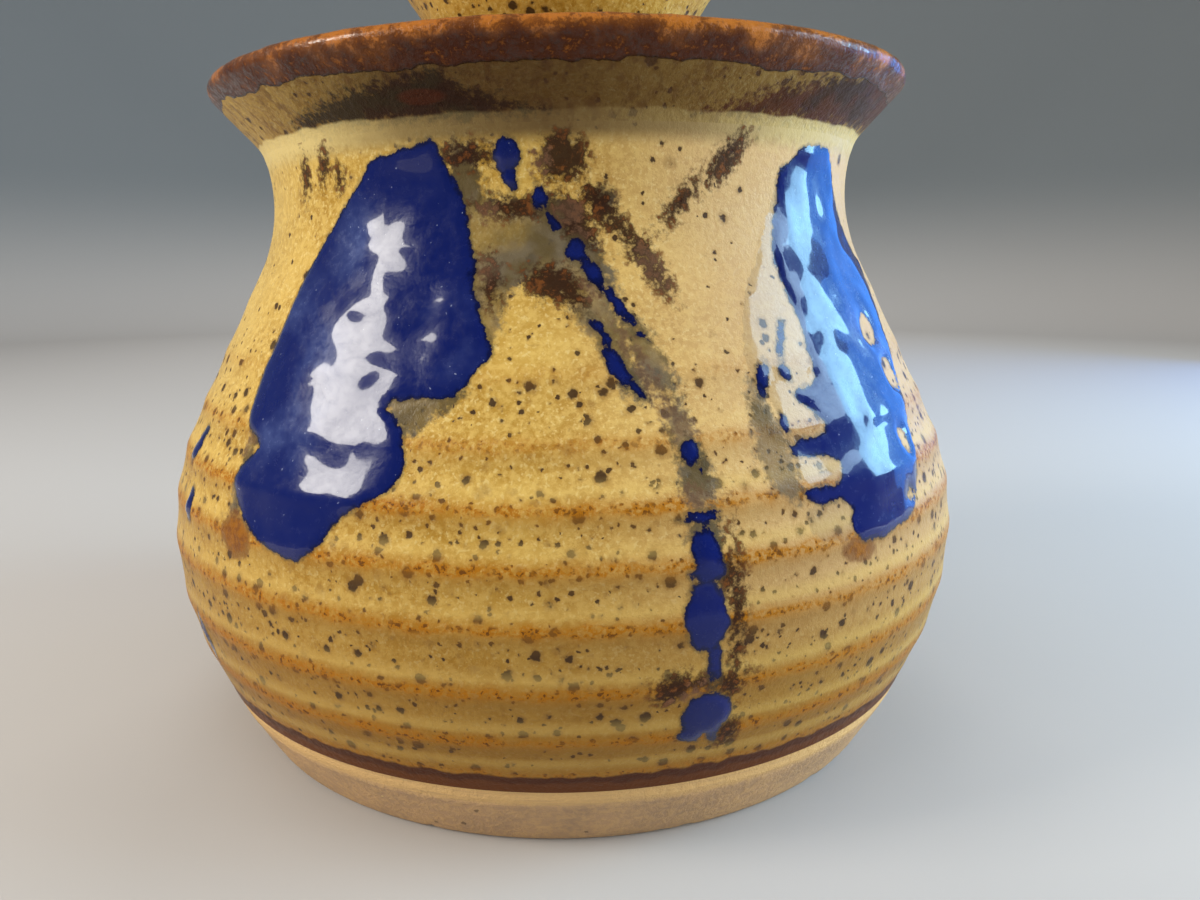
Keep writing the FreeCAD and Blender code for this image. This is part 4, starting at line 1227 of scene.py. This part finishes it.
def make_floor():
    """A plain pale floor that sweeps up all round into a plain backdrop."""
    outline = [(0.0, 0.0), (FLOOR_REACH, 0.0)]
    turns = 12
    for step in range(1, turns + 1):
        turn = math.pi / 2 * step / turns
        outline.append((FLOOR_REACH + SWEEP_ROUND * math.sin(turn), SWEEP_ROUND * (1 - math.cos(turn))))
    outline.append((FLOOR_REACH + SWEEP_ROUND, SWEEP_TOP))
    shape = bmesh.new()
    row = [shape.verts.new((radius, 0.0, height)) for radius, height in outline]
    edges = [shape.edges.new(pair) for pair in zip(row, row[1:])]
    bmesh.ops.spin(shape, geom=row + edges, cent=(0, 0, 0), axis=(0, 0, 1), angle=2 * math.pi, steps=96,
                   use_merge=True)
    bmesh.ops.remove_doubles(shape, verts=shape.verts, dist=1e-6)
    mesh = bpy.data.meshes.new("floor")
    shape.to_mesh(mesh)
    shape.free()
    mesh.polygons.foreach_set("use_smooth", np.ones(len(mesh.polygons), bool))
    floor = bpy.data.objects.new("floor", mesh)
    bpy.context.scene.collection.objects.link(floor)
    material, tree, shader = new_material("pale_floor")
    rise = add(tree, "ShaderNodeSeparateXYZ", {"Vector": object_coordinates(tree)})
    up = between(tree, rise.outputs["Z"], 0.0, SWEEP_ROUND * 0.7)
    feed(tree, shader, {
        "Base Color": mixed(tree, up, FLOOR_COLOUR, BACKDROP_COLOUR),
        "Roughness": 0.85, "Specular IOR Level": 0.2})
    mesh.materials.append(material)


def softbox(name, turn, rise, reach, width, height, power, tint):
    """A soft rectangular lamp that faces the pot, round from the front and up from the floor by angles."""
    lamp = bpy.data.lights.new(name, "AREA")
    lamp.shape = "RECTANGLE"
    lamp.size, lamp.size_y = width, height
    lamp.energy = power
    lamp.color = tint
    turn, rise = math.radians(turn), math.radians(rise)
    aim = Vector((0.0, 0.0, 0.055))
    direction = Vector((math.sin(turn) * math.cos(rise), -math.cos(turn) * math.cos(rise), math.sin(rise)))
    box = bpy.data.objects.new(name, lamp)
    box.location = aim + direction * reach
    box.rotation_euler = direction.to_track_quat("Z", "Y").to_euler()
    box.visible_camera = False
    bpy.context.scene.collection.objects.link(box)
    return box


def fill(*settings):
    """A softbox that lights the pot but isn't mirrored in its glaze."""
    softbox(*settings).visible_glossy = False


def make_lights():
    """Softboxes that the glaze mirrors, fills that only light the pot, and a soft room."""
    softbox("left_softbox", -69.0, 31.0, 0.60, 0.18, 0.17, 2.0, (1.0, 0.96, 0.88))
    softbox("right_blue_softbox", 119.0, 9.0, 0.60, 0.36, 0.28, 0.9, (0.05, 0.30, 1.0))
    softbox("right_pale_softbox", 100.0, 18.0, 0.58, 0.15, 0.24, 1.5, (0.36, 0.72, 1.0))
    softbox("right_white_softbox", 82.0, 30.0, 0.58, 0.19, 0.15, 0.9, (0.50, 0.75, 1.0))
    fill("left_fill", -58.0, 12.0, 0.70, 0.36, 0.30, 1.8, (1.0, 0.97, 0.90))
    fill("right_fill", 84.0, 8.0, 0.70, 0.36, 0.26, 5.2, (0.84, 0.94, 1.0))
    fill("back_fill", 180.0, 30.0, 0.90, 0.50, 0.40, 2.0, (1.0, 0.98, 0.95))
    fill("front_fill", 8.0, 26.0, 0.90, 0.50, 0.30, 1.1, (1.0, 0.97, 0.92))
    fill("high_fill", -20.0, 74.0, 0.90, 0.60, 0.50, 2.2, (1.0, 0.98, 0.95))
    make_room()


def make_room():
    """A soft pale room all round, that the camera and the glaze see as the plain backdrop."""
    world = bpy.data.worlds.new("room")
    world.use_nodes = True
    tree = world.node_tree
    ray = add(tree, "ShaderNodeLightPath").outputs
    seen = number(tree, "MAXIMUM", ray["Is Camera Ray"], ray["Is Glossy Ray"])
    seen = number(tree, "MAXIMUM", seen, ray["Is Transmission Ray"])
    feed(tree, tree.nodes["Background"], {"Color": mixed(tree, seen, ROOM_LIGHT, ROOM_SEEN)})
    bpy.context.scene.world = world


# The camera stands where the photograph was taken: close in front, a little
# right of the middle, looking slightly down, with a wide lens
CAMERA_PLACE = (0.00578, -0.1589, 0.07537)
CAMERA_DOWN = 12.318
CAMERA_ROLL = -0.166
LENS = 27.0
SENSOR = 36.0


def make_camera():
    """A wide lens at the photographer's place."""
    camera = bpy.data.cameras.new("camera")
    camera.lens = LENS
    camera.sensor_width = SENSOR
    camera.sensor_fit = "HORIZONTAL"
    camera.clip_start = 0.005
    eye = bpy.data.objects.new("camera", camera)
    eye.location = CAMERA_PLACE
    eye.rotation_mode = "XYZ"
    down = math.radians(CAMERA_DOWN)
    look = Vector((0.0, math.cos(down), -math.sin(down)))
    roll = Quaternion((0.0, 0.0, 1.0), math.radians(CAMERA_ROLL))
    eye.rotation_euler = (look.to_track_quat("-Z", "Y") @ roll).to_euler()
    bpy.context.scene.collection.objects.link(eye)
    bpy.context.scene.camera = eye


bpy.context.scene.view_settings.view_transform = "Standard"
make_camera()
make_floor()
make_lights()
make_wall()
make_lip()
make_liner()
make_foot()
make_lid()
make_knob()
